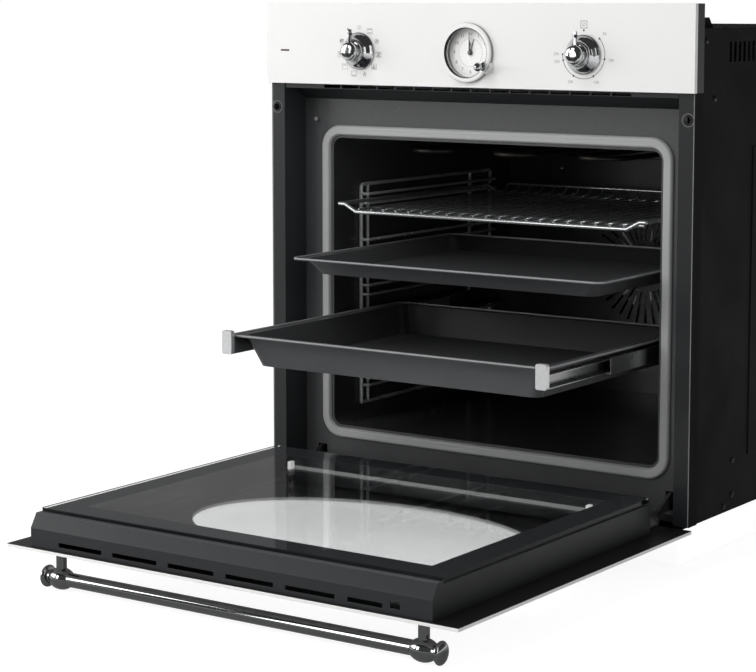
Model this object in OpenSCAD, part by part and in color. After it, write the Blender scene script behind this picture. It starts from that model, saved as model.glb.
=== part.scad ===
// Built-in oven with a drop-down door, drawn open with the rack and both trays pulled out.
// Millimetres. X runs to the right, Y into the cabinet, Z up. The origin lies on the base's underside,
// half way across it, in the plane where the front frame meets the cabinet's edge.

/* [Front] */
// Width of the fascia and of the door
front_w = 595; // [585:1:600]
// Height of the front, from the frame's lower edge to the fascia's top
front_h = 590; // [580:1:600]
// Height of the frame's lower edge over the base's underside
foot_drop = 8; // [6:1:12]
// Height of the control fascia
fascia_h = 99; // [92:1:110]
// Depth of the fascia in front of the frame
fascia_t = 6; // [5:0.5:9]
// How far the frame stands inside the fascia's ends
frame_inset = 2; // [1:0.5:4]
// Width of each front flange
flange_w = 20; // [16:1:26]
// Depth of the front frame, from its front face to the cabinet's edge
frame_depth = 20; // [16:1:26]
// Depth of the cavity's face behind the cabinet's edge
face_y = 24; // [23:0.5:34]
// Thickness of the frame's and the cavity's steel
steel_t = 1.2; // [1:0.1:2]
// Radius of the two cabinet screw holes
screw_hole_r = 4; // [3:0.25:5]
// Distance of the cabinet screw holes below the fascia
screw_hole_drop = 30; // [20:1:60]

/* [Casing] */
// Distance of the casing's sides inside the fascia's ends
casing_inset = 19.5; // [17:0.5:24]
// Distance of the casing's flat top below the fascia's top
casing_drop = 28; // [18:1:38]
// Depth of the casing behind the cabinet's edge
casing_d = 525; // [510:1:560]
// Thickness of the casing's sheet
casing_t = 1; // [0.8:0.1:1.5]
// Height of the raised front of the top
bridge_h = 12; // [6:1:16]
// Depth of the raised front of the top
bridge_d = 78; // [50:1:110]
// Number of vent slots in each side
side_slots = 8; // [4:1:12]
// Height of the vent slots in the sides
side_slot_h = 23; // [15:1:30]

/* [Cavity] */
// Distance of the cavity's sides from the casing's
side_gap = 46; // [43:0.5:50]
// Distance of the cavity's roof below the fascia
roof_drop = 69; // [66:1:80]
// Height of the cavity's floor over the base
cavity_z = 64; // [60:1:72]
// Distance of the cavity's back from the casing's
back_gap = 75; // [73:1:100]
// Radius of the cavity's long corners
cavity_r = 12; // [6:1:20]
// Width of the door gasket's band
gasket_w = 13; // [9:0.5:15]
// Distance from the cavity's mouth to the gasket
gasket_gap = 3; // [1:0.5:5]
// Thickness of the insulation
wool_t = 18; // [12:1:18]

/* [Door] */
// Gap between the door and the fascia
door_gap = 3; // [2:0.5:6]
// Thickness of the door's outer panel
panel_t = 4; // [2:0.5:5]
// Distance of the door's black frame inside the panel's sides
door_body_inset = 32.5; // [28:0.5:37.5]
// Distance of the inner glass's face from the hinge axis
door_inner_t = 34.5; // [32:0.5:37]
// Thickness of each glass pane
pane_t = 4; // [3:0.5:5]
// Sheet thickness of the door's black frame
door_sheet = 1.5; // [1:0.1:2.5]
// Width of the dark border round the inner glass's clear field
glass_border = 36; // [28:1:40]
// Distance of the oval window's ends from the sides of the black frame
oval_end = 50; // [50:1:110]
// Distance of the oval window from the clear field's long edges
oval_edge = 41.75; // [36:0.25:80]
// Distance of the hinge axis behind the frame's front face
hinge_back = 4; // [3:0.5:6]
// Height of the hinge axis over the base
hinge_z = 10.5; // [9:0.5:13]
// Distance of each hinge inside the door's side
hinge_inset = 47.5; // [44.5:0.5:53]
// Radius of the hinge pins
hinge_pin_r = 3; // [2:0.25:3.5]

/* [Handle] */
// Radius of the handle bar
bar_r = 8; // [5:0.5:9]
// Distance of each handle post inside the door's side
post_inset = 57; // [48:0.5:100]
// Distance of the bar's axis from the door's outer face
bar_reach = 33; // [28:1:45]
// Distance of the bar's axis below the door's upper edge
bar_drop = 26; // [20:1:45]
// Radius of the handle posts
post_r = 6; // [4:0.5:6.5]

/* [Knobs and clock] */
// Distance of each knob from the middle
knob_x = 156.5; // [130:0.5:200]
// Height of the knobs and the clock over the fascia's lower edge
dial_rise = 41; // [38:0.5:50]
// Radius of a knob's skirt
knob_r = 22.6; // [20:0.1:26]
// Length of a knob
knob_len = 26.5; // [24:0.5:32]
// Reach of the pointer from the knob's axis
pointer_reach = 27; // [24:0.5:30]
// Radius of the control shafts
shaft_r = 3; // [2.5:0.25:4]
// Outer radius of the clock's bezel
bezel_r = 35.5; // [33.5:0.5:37]
// Radius of the clock's dial
dial_r = 29; // [26:0.5:29.5]
// Radius of the clock's setting knob
setting_r = 5.2; // [4:0.1:5.6]

/* [Rack, trays and rails] */
// Height of the lowest runner over the cavity's floor
first_level = 43; // [38:1:46]
// Distance of the top runner level below the cavity's roof
level_head = 87; // [80:1:91]
// Height between the two wires of a level
level_gap = 12; // [11:0.5:13]
// Radius of the runner wires
runner_r = 2; // [1.5:0.25:2]
// Distance of the runner wires from the cavity's wall
runner_gap = 13; // [12:0.5:15]
// Radius of the rack's frame wire
frame_wire_r = 2.5; // [2:0.25:2.75]
// Number of grid wires
grid_wires = 21; // [15:1:27]
// Radius of a grid wire
grid_wire_r = 1.4; // [1:0.1:1.6]
// Distance of the pushed-in trays behind the cavity's face
tray_set_back = 36; // [34:1:56]
// Depth of the shallow tray's basin
shallow_h = 18; // [12:1:24]
// Depth of the deep tray's basin
deep_h = 36; // [28:1:40]
// How far the rack is pulled out
rack_out = 46; // [0:1:80]
// How far the shallow tray is pulled out
shallow_out = 147; // [100:1:170]
// How far the deep tray and its rails are pulled out
deep_out = 267; // [220:1:270]
// Height of a rail's outer channel
rail_h = 22; // [20:0.5:23]
// Height of the rail's front caps
cap_h = 28; // [26:0.5:29]

/* [Heating and cooling] */
// Radius of the convection fan
fan_r = 62; // [50:1:66]
// Distance of the convection fan's axis below the cavity's middle
fan_drop = 4; // [-3:1:12]
// Number of slots in the fan cover
cover_slots = 36; // [24:1:40]
// Outer radius of the fan cover's slots
slot_ring_r = 79; // [74:1:82]
// Radius of the heating elements' tubes
element_r = 3.2; // [2.5:0.1:3.6]
// Radius of the cooling drum
drum_r = 28; // [22:1:30]
// Length of the cooling drum
drum_len = 180; // [140:1:220]

/* [Hidden] */
$fn = 48;

// Gap between pieces that move past each other, and the play of a shaft in its bore
clear = 0.3;
play = 0.06;
cut = 1;

// Front frame and fascia
frame_w = front_w - 2 * frame_inset;
recess_w = frame_w - 2 * flange_w;
frame_y = -frame_depth;
fascia_y = frame_y - fascia_t;
fascia_z = foot_drop + front_h - fascia_h;
fascia_top = foot_drop + front_h;
fascia_sheet = 1.5;
dial_z = fascia_z + dial_rise;
screw_hole_x = recess_w / 2 + 0.575 * flange_w;
screw_hole_z = fascia_z - screw_hole_drop;
frame_lip = 4.5;

// Casing
casing_w = front_w - 2 * casing_inset;
casing_h = fascia_top - casing_drop;

// Cavity
cavity_w = casing_w - 2 * side_gap;
cavity_top = fascia_z - roof_drop;
cavity_h = cavity_top - cavity_z;
cavity_back = casing_d - back_gap;
liner_t = steel_t;
cover_d = 26;
cover_y = cavity_back - cover_d;
tray_stop_gap = 4;
tray_in_y = face_y + tray_set_back;
tray_d = cover_y - tray_stop_gap - tray_in_y;

// Gasket: its lip stands a hair in front of the closed door's glass
hinge_y = frame_y + hinge_back;
gasket_y = hinge_y + door_inner_t + clear;

// Door: u runs from the hinge axis to the door's upper edge, t from the axis to the inner glass
panel_u0 = foot_drop + door_gap - hinge_z;
panel_u1 = fascia_z - door_gap - hinge_z;
panel_t0 = fascia_y - hinge_y;
panel_t1 = panel_t0 + panel_t;
door_body_w = front_w - 2 * door_body_inset;
body_u0 = 38;
body_u1 = panel_u1 - 4;
body_top_t = door_inner_t - pane_t;
chamfer_u = 9;
chamfer_t = 15;
groove_d = 4;
groove_h = 3;
glass_u0 = body_u0 + 1;
glass_u1 = body_u1 - 17;
field_w = door_body_w - 2 * glass_border;
field_u0 = glass_u0 + glass_border;
field_u1 = glass_u1 - glass_border;
rim_t = 1.5;
pane_seat = 8;
oval_u = (field_u0 + field_u1) / 2 - 20;
oval_a = door_body_w / 2 - oval_end;
oval_b = (field_u1 - field_u0) / 2 - oval_edge;
window_w = 2 * (oval_a + pane_seat);
window_h = 2 * (oval_b + pane_seat);
door_slots = 6;
door_slot_h = 5;
door_slot_x0 = 41 - door_body_w / 2;
door_slot_x1 = door_body_w / 2 - 59;
door_slot_pitch = (door_slot_x1 - door_slot_x0 + 35) / door_slots;
door_slot_len = 0.8 * door_slot_pitch;

// Hinges
hinge_x = front_w / 2 - hinge_inset;
claw_t = 4;
claw_head_r = hinge_pin_r + 2.5;
cheek_t = 1.6;
cheek_gap = 0.4;
channel_len = 200;
channel_t1 = 12;
claw_slot_z = hinge_z + 4;
claw_slot_h = 22;
claw_y1 = face_y + 45;

// Runner levels
level_count = 5;
level_pitch = (cavity_h - first_level - level_head) / (level_count - 1);
rack_level = 5;
shallow_level = 4;
rail_level = 2;
function level_z(n) = cavity_z + first_level + (n - 1) * level_pitch;
runner_x = cavity_w / 2 - runner_gap;
upright_r = 2.5;
upright_x = cavity_w / 2 - upright_r - clear;
runner_y0 = face_y + 56;
runner_y1 = cover_y - 34;
extra_uprights = [14, runner_y1 - runner_y0 - 52];

// Rack
rack_y = tray_in_y - rack_out;
rack_z = level_z(rack_level) + runner_r + clear + frame_wire_r;
rack_dip = 9;
rack_tip = 8;
rack_mid = 45;
stop_d = 16;
stop_bend = 7;
stop_rise = 3;
rack_side_x = runner_x - 2;
rack_bar_x = rack_side_x - 25;
grid_span = 2 * rack_bar_x - 8;

// Trays
tray_sheet = 1.2;
tray_rim = 13;
tray_corner_r = 14;
basin_slope = 12;
shallow_y = tray_in_y - shallow_out;
shallow_rim_z = level_z(shallow_level) + runner_r + clear;
shallow_w = 2 * runner_x - 1;

// Telescopic rails, from the cavity's wall inwards: channel, middle member, runner
rail_len = tray_d - 10;
rail_z = level_z(rail_level) + level_gap + runner_r + 3;
rail_sheet = 1.2;
channel_x = runner_x + 6;
channel_depth = 10.5;
member_gap = 0.4;
clip_t = 1.5;
clip_w = 14;
middle_h = rail_h - 2 * (rail_sheet + member_gap);
middle_x = channel_x - rail_sheet - 0.8;
middle_depth = 8.5;
runner_h = middle_h - 2 * (rail_sheet + member_gap);
runner_web_x = channel_x - 15;
slide_x = middle_x - rail_sheet - 0.8;
deep_y = tray_in_y - deep_out;
deep_rim_z = rail_z + rail_h + 1.3;
deep_w = 2 * channel_x - 12;
cap_w = 14;
cap_t = 6;

// Knobs
knob_bore_d = 18;
knob_back = 0.4;
pointer_h = 18;
pointer_t = 2.4;
bush_len = 5;
ear_w = 8;
shaft_play = 0.02;

// Clock
bezel_h = 5.5;
bezel_tube_t = 1.6;
bezel_in_r = dial_r;
dial_y = frame_y + 0.5;
dial_t = 1.2;
clock_glass_y = fascia_y - 0.5;
clock_glass_t = 1.5;
hand_t = 0.6;
hand_step = 1.2;
arbor_r = 0.8;
sleeve_t = 0.62;
sleeve_play = 0.08;
hour_bore_r = arbor_r + sleeve_play;
hour_sleeve_r = hour_bore_r + sleeve_t;
alarm_bore_r = hour_sleeve_r + sleeve_play;
alarm_sleeve_r = alarm_bore_r + sleeve_t;
dial_bore_r = alarm_sleeve_r + sleeve_play;
hand_root_y = dial_y + 8;
setting_dx = dial_r - 1.5;
setting_z = dial_z - 15.8;
setting_boss_r = 8;
setting_stem_r = 1.6;
setting_reach = 21;
setting_neck = 1.3;
setting_skirt_h = 4.5;
setting_skirt_r = setting_r + 1.2;

// Grille below the fascia: a slotted strip near the frame's front, and a plate from its foot back to
// the cavity's face, which follows the closed door's upper edge
grille_slots = 16;
grille_pitch = 27;
grille_slot_w = 24.4;
grille_gap = 1;
grille_lip = 6;
grille_y = frame_y + 1;
grille_z = hinge_z + body_u1 + grille_gap;
grille_slot_z = grille_z + 0.8;
grille_slot_h = fascia_z - 0.8 - grille_slot_z;
grille_bend_y = hinge_y + chamfer_t;
grille_slope = chamfer_u / (body_top_t - chamfer_t);
grille_foot_z = grille_z - grille_slope * (face_y - grille_bend_y);

// Mouth of the air duct in the cavity's face
mouth_z = fascia_z - 13.5;
mouth_h = 8;

// Fan and elements
fan_z = cavity_z + cavity_h / 2 - fan_drop;
plenum_y = cover_y + 1.5;
slot_hub_r = 35;
slot_wide = 3.2;
fan_blades = 14;
fan_d = 15;
fan_shaft_r = 4;
motor_r = 38;
motor_y0 = cavity_back + liner_t + wool_t;
motor_len = 34;
grill_runs = 6;
grill_pitch = 60;
grill_y0 = face_y + 70;
grill_y1 = cover_y - 110;
grill_z = cavity_top - 15;
bottom_runs = 4;
bottom_pitch = 90;
bottom_z = cavity_z - liner_t - clear - element_r;
lamp_x = -60;
lamp_y = cover_y - 50;
lamp_r = 27;

// Cooling blower on top of the cavity
wool_top = cavity_top + liner_t + wool_t;
duct_z0 = mouth_z - 2;
duct_z1 = duct_z0 + mouth_h + 5;
duct_w = grille_slots * grille_pitch;
duct_y0 = face_y + steel_t;
drum_y = cavity_back - 120;
drum_z = wool_top + drum_r + 14;
drum_blades = 24;
scroll_r = drum_r + 6;
drum_shaft_r = 2.5;

// Terminal box
box_x = 108 - casing_w / 2;
box_w = 80;
box_d = 42;
box_h = 50;
box_z = wool_top + 10;
inlet_r = 5;
inlet_len = 12;
box_y = casing_d - casing_t - box_d;

// Handle, in the door's u and t
post_span = front_w - 2 * post_inset;
bar_u = panel_u1 - bar_drop;
bar_t = panel_t0 - bar_reach;
collar_r = bar_r + 4.4;
collar_len = 17;
neck_at = 14.5;
disc_at = 20;
disc_half = 4.8;

// Small things on the front
indicator_x = 27.5 - front_w / 2;
indicator_w = 13;
indicator_h = 2;
pin_x = cavity_w / 2 + 24;
pin_z = cavity_top + 23;
pin_r = 2.5;
pin_travel = 4;
setting_y = fascia_y - setting_reach;
shaft_end_y = frame_y + 26;
hinge_pin_half = claw_t / 2 + cheek_gap + cheek_t + 1;
door_slot_t = -1.5;
notch_x = door_slot_x1 + 9;
notch_w = 12;
notch_h = 8;
scroll_x = drum_len / 2 + 8;
duct_t = 1;
duct_y1 = drum_y - 60;
grill_half = (grill_runs - 1) * grill_pitch / 2;
ring_r = 85;
ring_end_x = 30;
tail = 8;
wool_back = cavity_back + liner_t + wool_t;
bearer_x0 = (bottom_runs - 1) * bottom_pitch / 2 + 25;
bearer_x1 = cavity_w / 2;
bearer_d = 30;
bearer_ys = [face_y + 60, cavity_back - 60];
blanket_z0 = bottom_z - element_r - wool_t + 3;

// Helpers
module wall_xz(y0, y1) translate([0, y1, 0]) rotate([90, 0, 0]) linear_extrude(y1 - y0) children();
module along_x(x0, x1) translate([x0, 0, 0]) rotate([90, 0, 90]) linear_extrude(x1 - x0) children();
module rod_x(x0, x1, y, z, r) translate([x0, y, z]) rotate([0, 90, 0]) cylinder(r = r, h = x1 - x0);
module rod_y(x, y0, y1, z, r) translate([x, y0, z]) rotate([-90, 0, 0]) cylinder(r = r, h = y1 - y0);
module rod_z(x, y, z0, z1, r) translate([x, y, z0]) cylinder(r = r, h = z1 - z0);
module block(x0, x1, y0, y1, z0, z1) translate([x0, y0, z0]) cube([x1 - x0, y1 - y0, z1 - z0]);
module both_sides() {
    children();
    mirror([1, 0, 0]) children();
}
module round_rect(w, h, r) {
    square([w - 2 * r, h], center = true);
    square([w, h - 2 * r], center = true);
    for (x = [-1, 1], y = [-1, 1]) translate([x * (w / 2 - r), y * (h / 2 - r)]) circle(r);
}
module cavity_outline(grow) translate([0, cavity_z + cavity_h / 2])
    round_rect(cavity_w + 2 * grow, cavity_h + 2 * grow, cavity_r + grow);
// A piece turned about an axis that runs forwards, from a profile of radius and height
module turned_front(x, y, z) translate([x, y, z]) rotate([90, 0, 0]) rotate_extrude() children();
// A straight rod between any two points
module rod(a, b, r) {
    d = b - a;
    len = norm(d);
    translate(a) rotate([0, acos(d[2] / len), atan2(d[1], d[0])]) cylinder(r = r, h = len);
}

// Casing
module side_sheet() {
    slot_y0 = 99;
    slot_pitch = 12;
    slot_w = 6;
    slot_top = casing_h - 16;
    emboss = 1.2;
    wall = 2;
    emboss_y0 = 165;
    emboss_y1 = casing_d - 50;
    emboss_z0 = 60;
    emboss_z1 = casing_h - 140;
    x0 = casing_w / 2 - casing_t;
    x1 = casing_w / 2;
    difference() {
        union() {
            block(x0, x1, 0, casing_d, 0, casing_h);
            block(x0, x1 + emboss, emboss_y0, emboss_y1, emboss_z0, emboss_z1);
        }
        block(x0 - cut, x1 + emboss - casing_t, emboss_y0 + wall, emboss_y1 - wall, emboss_z0 + wall,
            emboss_z1 - wall);
        for (i = [0 : side_slots - 1]) translate([0, slot_y0 + i * slot_pitch, 0])
            block(x0 - cut, x1 + cut, 0, slot_w, slot_top - side_slot_h, slot_top);
    }
}
module casing_side_right() color("#1b1b1d") side_sheet();
module casing_side_left() color("#1b1b1d") mirror([1, 0, 0]) side_sheet();

module casing_top() color("#1e1e20") {
    x = casing_w / 2 - casing_t;
    bridge_x = x - 15;
    ramp = 11;
    difference() {
        union() {
            block(-x, x, 0, casing_d, casing_h - casing_t, casing_h);
            along_x(-bridge_x, bridge_x) polygon([[2, casing_h - casing_t], [2, casing_h + bridge_h],
                [bridge_d, casing_h + bridge_h], [bridge_d + ramp, casing_h - casing_t]]);
        }
        along_x(-bridge_x + casing_t, bridge_x - casing_t) polygon([[2 + casing_t, casing_h - 2 * casing_t],
            [2 + casing_t, casing_h + bridge_h - casing_t], [bridge_d, casing_h + bridge_h - casing_t],
            [bridge_d + ramp - 2 * casing_t, casing_h - 2 * casing_t]]);
    }
}

module casing_base() color("#1b1b1d") {
    x = casing_w / 2 - casing_t;
    turn_up = 14;
    block(-x, x, -6, casing_d - casing_t, 0, casing_t);
    both_sides() {
        block(x - casing_t, x, face_y + 2, casing_d - casing_t, 0, turn_up);
        // Bearers that carry the cavity's floor through the insulation
        for (y = bearer_ys) block(bearer_x0, bearer_x1, y, y + bearer_d, 0, cavity_z - liner_t);
    }
}

module casing_rear() color("#8d9092") {
    x = casing_w / 2 - casing_t;
    slot_len = 60;
    difference() {
        block(-x, x, casing_d - casing_t, casing_d, 0, casing_h - casing_t);
        rod_y(box_x, casing_d - 2 * cut, casing_d + cut, box_z + box_h / 2, inlet_r + 6);
        both_sides() for (i = [0 : 5])
            block(120, 120 + slot_len, casing_d - 2 * cut, casing_d + cut, 90 + i * 18, 96 + i * 18);
    }
}

// Front frame: two flanges, each a folded channel, with the recess's side walls and a sill
module front_frame() color("#26282b") {
    outer = frame_w / 2;
    inner = recess_w / 2;
    both_sides() difference() {
        union() {
            block(inner, outer, frame_y, frame_y + steel_t, foot_drop, fascia_z);
            block(outer - steel_t, outer, frame_y, 0, foot_drop, fascia_z);
            block(outer - frame_lip, outer, -steel_t, 0, foot_drop, fascia_z);
            block(inner, inner + steel_t, frame_y, face_y, foot_drop, fascia_z);
        }
        rod_y(screw_hole_x, frame_y - cut, frame_y + steel_t + cut, screw_hole_z, screw_hole_r);
    }
    block(-inner, inner, -4, face_y, foot_drop, foot_drop + steel_t);
}

module cavity_face() color("#17191c") difference() {
    w = recess_w / 2;
    y0 = face_y - cut;
    y1 = face_y + steel_t + cut;
    block(-w, w, face_y, face_y + steel_t, foot_drop + steel_t, fascia_z);
    wall_xz(y0, y1) cavity_outline(0);
    both_sides() block(hinge_x - 7, hinge_x + 7, y0, y1, claw_slot_z, claw_slot_z + claw_slot_h);
    block(-duct_w / 2, duct_w / 2, y0, y1, mouth_z, mouth_z + mouth_h);
    rod_y(-pin_x, y0, y1, pin_z, pin_r + play);
}

// What passes through the cavity's back: the fan's shaft and the elements' ends
module back_passages(y0, y1, grow) {
    rod_y(0, y0, y1, fan_z, fan_shaft_r + 4 * grow);
    both_sides() {
        rod_y(ring_end_x, y0, y1, fan_z + ring_r, element_r + grow);
        rod_y(grill_half, y0, y1, grill_z, element_r + grow);
    }
}
module cavity_liner() color("#1c1e21") difference() {
    y0 = face_y + steel_t;
    wall_xz(y0, cavity_back + liner_t) cavity_outline(liner_t);
    wall_xz(y0 - cut, cavity_back) cavity_outline(0);
    back_passages(cavity_back - cut, cavity_back + liner_t + cut, 0.2);
    rod_z(lamp_x, lamp_y, cavity_top - cut, cavity_top + liner_t + cut, lamp_r - 3);
}

module insulation_blanket() color("#c9c3ae") difference() {
    y0 = face_y + steel_t;
    out_w = cavity_w / 2 + liner_t + wool_t;
    element_w = bottom_runs * bottom_pitch / 2;
    block(-out_w, out_w, y0, wool_back, blanket_z0, wool_top);
    wall_xz(y0 - cut, cavity_back + liner_t) cavity_outline(liner_t);
    // Space for the element below the floor, for the bearers, and for what passes through
    block(-element_w, element_w, y0 + 40, wool_back + cut, bottom_z - element_r - 1, cavity_z);
    both_sides() for (y = bearer_ys)
        block(bearer_x0 - clear, bearer_x1 + clear, y - clear, y + bearer_d + clear, 0, cavity_z);
    back_passages(cavity_back, wool_back + cut, 1.5);
    rod_z(lamp_x, lamp_y, cavity_top - cut, wool_top + cut, lamp_r + 3);
}

module door_gasket() color("#85888a") {
    // A raised middle between two thinner edges
    difference() {
        union() {
            wall_xz(gasket_y + 1.5, face_y) cavity_outline(gasket_gap + gasket_w);
            wall_xz(gasket_y, face_y) cavity_outline(gasket_gap + gasket_w - 2);
        }
        wall_xz(gasket_y - cut, face_y + cut) cavity_outline(gasket_gap + 2);
        wall_xz(gasket_y + 1.5, face_y + cut) cavity_outline(gasket_gap);
    }
}

module fan_cover() color("#222427") difference() {
    w = 300;
    h = 290;
    corner_r = 16;
    vents = 8;
    vent_pitch = 32;
    union() {
        wall_xz(cover_y, cover_y + steel_t) translate([0, fan_z]) round_rect(w, h, corner_r);
        difference() {
            wall_xz(cover_y, cavity_back) translate([0, fan_z]) round_rect(w, h, corner_r);
            wall_xz(cover_y - cut, cavity_back + cut) translate([0, fan_z])
                round_rect(w - 2 * steel_t, h - 2 * steel_t, corner_r - steel_t);
        }
    }
    wall_xz(cover_y - cut, cover_y + 2 * steel_t) translate([0, fan_z]) for (i = [0 : cover_slots - 1])
        rotate(i * 360 / cover_slots) translate([slot_hub_r, -slot_wide / 2])
            square([slot_ring_r - slot_hub_r, slot_wide]);
    // Openings at the sides let the hot air out
    for (i = [0 : vents - 1]) translate([0, 0, fan_z + (i - vents / 2) * vent_pitch + 8])
        block(-w, w, cover_y + 6, cavity_back - 6, 0, vent_pitch / 2);
}

// Elements
module ring_element() color("#4a4643") {
    y = cover_y + cover_d / 2 + 2;
    translate([0, y, fan_z]) rotate([90, 0, 0]) rotate_extrude() translate([ring_r, 0]) circle(element_r);
    for (x = [-ring_end_x, ring_end_x]) {
        rod_y(x, y, wool_back + tail, fan_z + ring_r, element_r);
        rod_z(x, y, fan_z + sqrt(ring_r * ring_r - x * x), fan_z + ring_r, element_r);
    }
}
module serpentine(runs, pitch, y0, y1) {
    half = (runs - 1) * pitch / 2;
    for (i = [0 : runs - 1]) {
        outermost = i == 0 || i == runs - 1;
        rod_y(-half + i * pitch, y0, outermost ? wool_back + tail : y1, 0, element_r);
    }
    for (i = [0 : runs - 2]) translate([-half + (i + 0.5) * pitch, i % 2 == 0 ? y0 : y1, 0])
        rotate([0, 0, i % 2 == 0 ? 180 : 0]) rotate_extrude(angle = 180)
            translate([pitch / 2, 0]) circle(element_r);
}
module grill_element() color("#4a4643") translate([0, 0, grill_z])
    serpentine(grill_runs, grill_pitch, grill_y0, grill_y1);
module bottom_element() color("#4a4643") translate([0, 0, bottom_z])
    serpentine(bottom_runs, bottom_pitch, face_y + 110, cavity_back - 100);

module lamp_holder() color("#d8d4c8") {
    z = cavity_top + liner_t;
    translate([lamp_x, lamp_y, 0]) {
        difference() {
            rod_z(0, 0, z, wool_top + 4, lamp_r);
            rod_z(0, 0, z - cut, wool_top - 4, lamp_r - 4);
        }
        // Bulb and its cap
        rod_z(0, 0, z + 6, wool_top + 2, 7);
        translate([0, 0, z + 4]) sphere(9);
    }
}
module lamp_lens() color([0.8, 0.85, 0.85, 0.5]) translate([lamp_x, lamp_y, cavity_top - 9]) difference() {
    union() {
        rod_z(0, 0, 3, 9, lamp_r);
        rod_z(0, 0, 0, 4, lamp_r - 5);
    }
    rod_z(0, 0, 2.5, 9 + cut, lamp_r - 7);
}

// Side racks: uprights near the wall, each runner wire bowed inwards
module side_rack() {
    top = level_z(level_count) + level_gap + 12;
    for (y = concat([runner_y0, runner_y1], [for (e = extra_uprights) runner_y0 + e]))
        rod_z(upright_x, y, cavity_z + 20, top, upright_r);
    for (z = [cavity_z + 20, top])
        rod_y(upright_x, runner_y0 - upright_r, runner_y1 + upright_r, z, upright_r);
    for (n = [1 : level_count], g = [0, level_gap]) {
        z = level_z(n) + g;
        rod_y(runner_x, runner_y0 - runner_r, runner_y1 + runner_r, z, runner_r);
        for (y = [runner_y0, runner_y1]) rod_x(runner_x, upright_x, y, z, runner_r);
    }
    // Hooks into the cavity's wall
    for (z = [cavity_z + 40, top - 20]) rod_x(upright_x, cavity_w / 2, runner_y0, z, runner_r);
}
module side_rack_right() color("#c4c7ca") side_rack();
module side_rack_left() color("#c4c7ca") mirror([1, 0, 0]) side_rack();

// Telescopic rails
module c_member(x_web, depth, h, z, y0) {
    difference() {
        block(x_web - depth, x_web, y0, y0 + rail_len, z, z + h);
        block(x_web - depth - cut, x_web - rail_sheet, y0 - cut, y0 + rail_len + cut,
            z + rail_sheet, z + h - rail_sheet);
    }
}
module rail_channels() color("#9ea2a5") both_sides() {
    c_member(channel_x, channel_depth, rail_h, rail_z, tray_in_y);
    // Clips: a saddle on the upper runner wire, a strap down behind both and a hook under the lower one
    front = runner_x - runner_r;
    back = runner_x + runner_r + 0.2;
    low = level_z(rail_level) - runner_r - 0.2;
    high = level_z(rail_level) + level_gap + runner_r + 0.2;
    for (y = [runner_y0 + 40, runner_y1 - 60]) {
        block(front, back + clip_t, y, y + clip_w, high, rail_z + 0.5);
        block(back, back + clip_t, y, y + clip_w, low - clip_t, rail_z + 0.5);
        block(front, back + clip_t, y, y + clip_w, low - clip_t, low);
    }
}
module rail_middles() color("#b3b7ba") both_sides()
    c_member(middle_x, middle_depth, middle_h, rail_z + rail_sheet + member_gap, tray_in_y - deep_out / 2);
module rail_runners() color("#b9bdc0") both_sides() {
    z = rail_z + 2 * (rail_sheet + member_gap);
    y = deep_y - 1;
    block(runner_web_x, slide_x, y, y + rail_len, z, z + rail_sheet);
    block(runner_web_x, slide_x, y, y + rail_len, z + runner_h - rail_sheet, z + runner_h);
    block(runner_web_x, runner_web_x + rail_sheet, y, y + rail_len, z, deep_rim_z - 0.1);
}
module rail_caps() color("#dfe2e4") both_sides() {
    z0 = deep_rim_z + 7.7 - cap_h;
    difference() {
        translate([(runner_web_x + slide_x) / 2, 0, z0 + cap_h / 2])
            wall_xz(deep_y - 1 - cap_t, deep_y - 1) round_rect(cap_w, cap_h, 2.5);
        // Seat for the runner's end
        block(runner_web_x - clear, slide_x + clear, deep_y - 3, deep_y, rail_z, deep_rim_z - 3);
    }
}

// Rack and trays
module wire_rack() color("#c9ccce") {
    y0 = rack_y + frame_wire_r;
    y1 = rack_y + tray_d - frame_wire_r;
    z = rack_z;
    low_z = rack_z - rack_dip;
    grid_z = low_z + frame_wire_r + grid_wire_r - 0.8;
    // Frame: side wires, and two bars that dip between them
    both_sides() {
        rod_y(rack_side_x, y0, y1, z, frame_wire_r);
        for (y = [y0, y1]) translate([rack_side_x, y, z]) sphere(frame_wire_r);
        for (y = [y0, y1 - stop_d]) {
            rod([rack_bar_x, y, low_z], [rack_side_x - rack_tip, y, z], frame_wire_r);
            rod_x(rack_side_x - rack_tip, rack_side_x, y, z, frame_wire_r);
            translate([rack_side_x - rack_tip, y, z]) sphere(frame_wire_r);
            translate([rack_bar_x, y, low_z]) sphere(frame_wire_r);
        }
    }
    for (y = [y0, y0 + rack_mid, y1 - stop_d]) rod_x(-rack_bar_x, rack_bar_x, y, low_z, frame_wire_r);
    // Grid wires, bent up at the back to the stop bar
    for (i = [0 : grid_wires - 1]) {
        x = -grid_span / 2 + i * grid_span / (grid_wires - 1);
        rod_y(x, y0, y1 - stop_bend, grid_z, grid_wire_r);
        rod([x, y1 - stop_bend, grid_z], [x, y1, z + stop_rise], grid_wire_r);
    }
    rod_x(-grid_span / 2, grid_span / 2, y1, z + stop_rise, frame_wire_r - 0.5);
}

// A tray: a flat rim round a basin whose walls slope inwards
module tray(w, y, rim_z, h) translate([0, y + tray_d / 2, rim_z]) difference() {
    union() {
        linear_extrude(tray_sheet) round_rect(w, tray_d, tray_corner_r);
        basin(w - 2 * tray_rim, tray_d - 2 * tray_rim, h, 0);
    }
    translate([0, 0, tray_sheet])
        basin(w - 2 * (tray_rim + tray_sheet), tray_d - 2 * (tray_rim + tray_sheet), h, cut);
}
module basin(w, d, h, rise) hull() {
    bottom_w = w - 2 * basin_slope;
    bottom_d = d - 2 * basin_slope;
    translate([0, 0, rise]) linear_extrude(0.01) round_rect(w, d, tray_corner_r - 4, $fn = 32);
    translate([0, 0, -h]) linear_extrude(0.01) round_rect(bottom_w, bottom_d, tray_corner_r, $fn = 32);
}
module shallow_tray() color("#2a2c2f") tray(shallow_w, shallow_y, shallow_rim_z, shallow_h);
module deep_tray() color("#2a2c2f") tray(deep_w, deep_y, deep_rim_z, deep_h);

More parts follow.
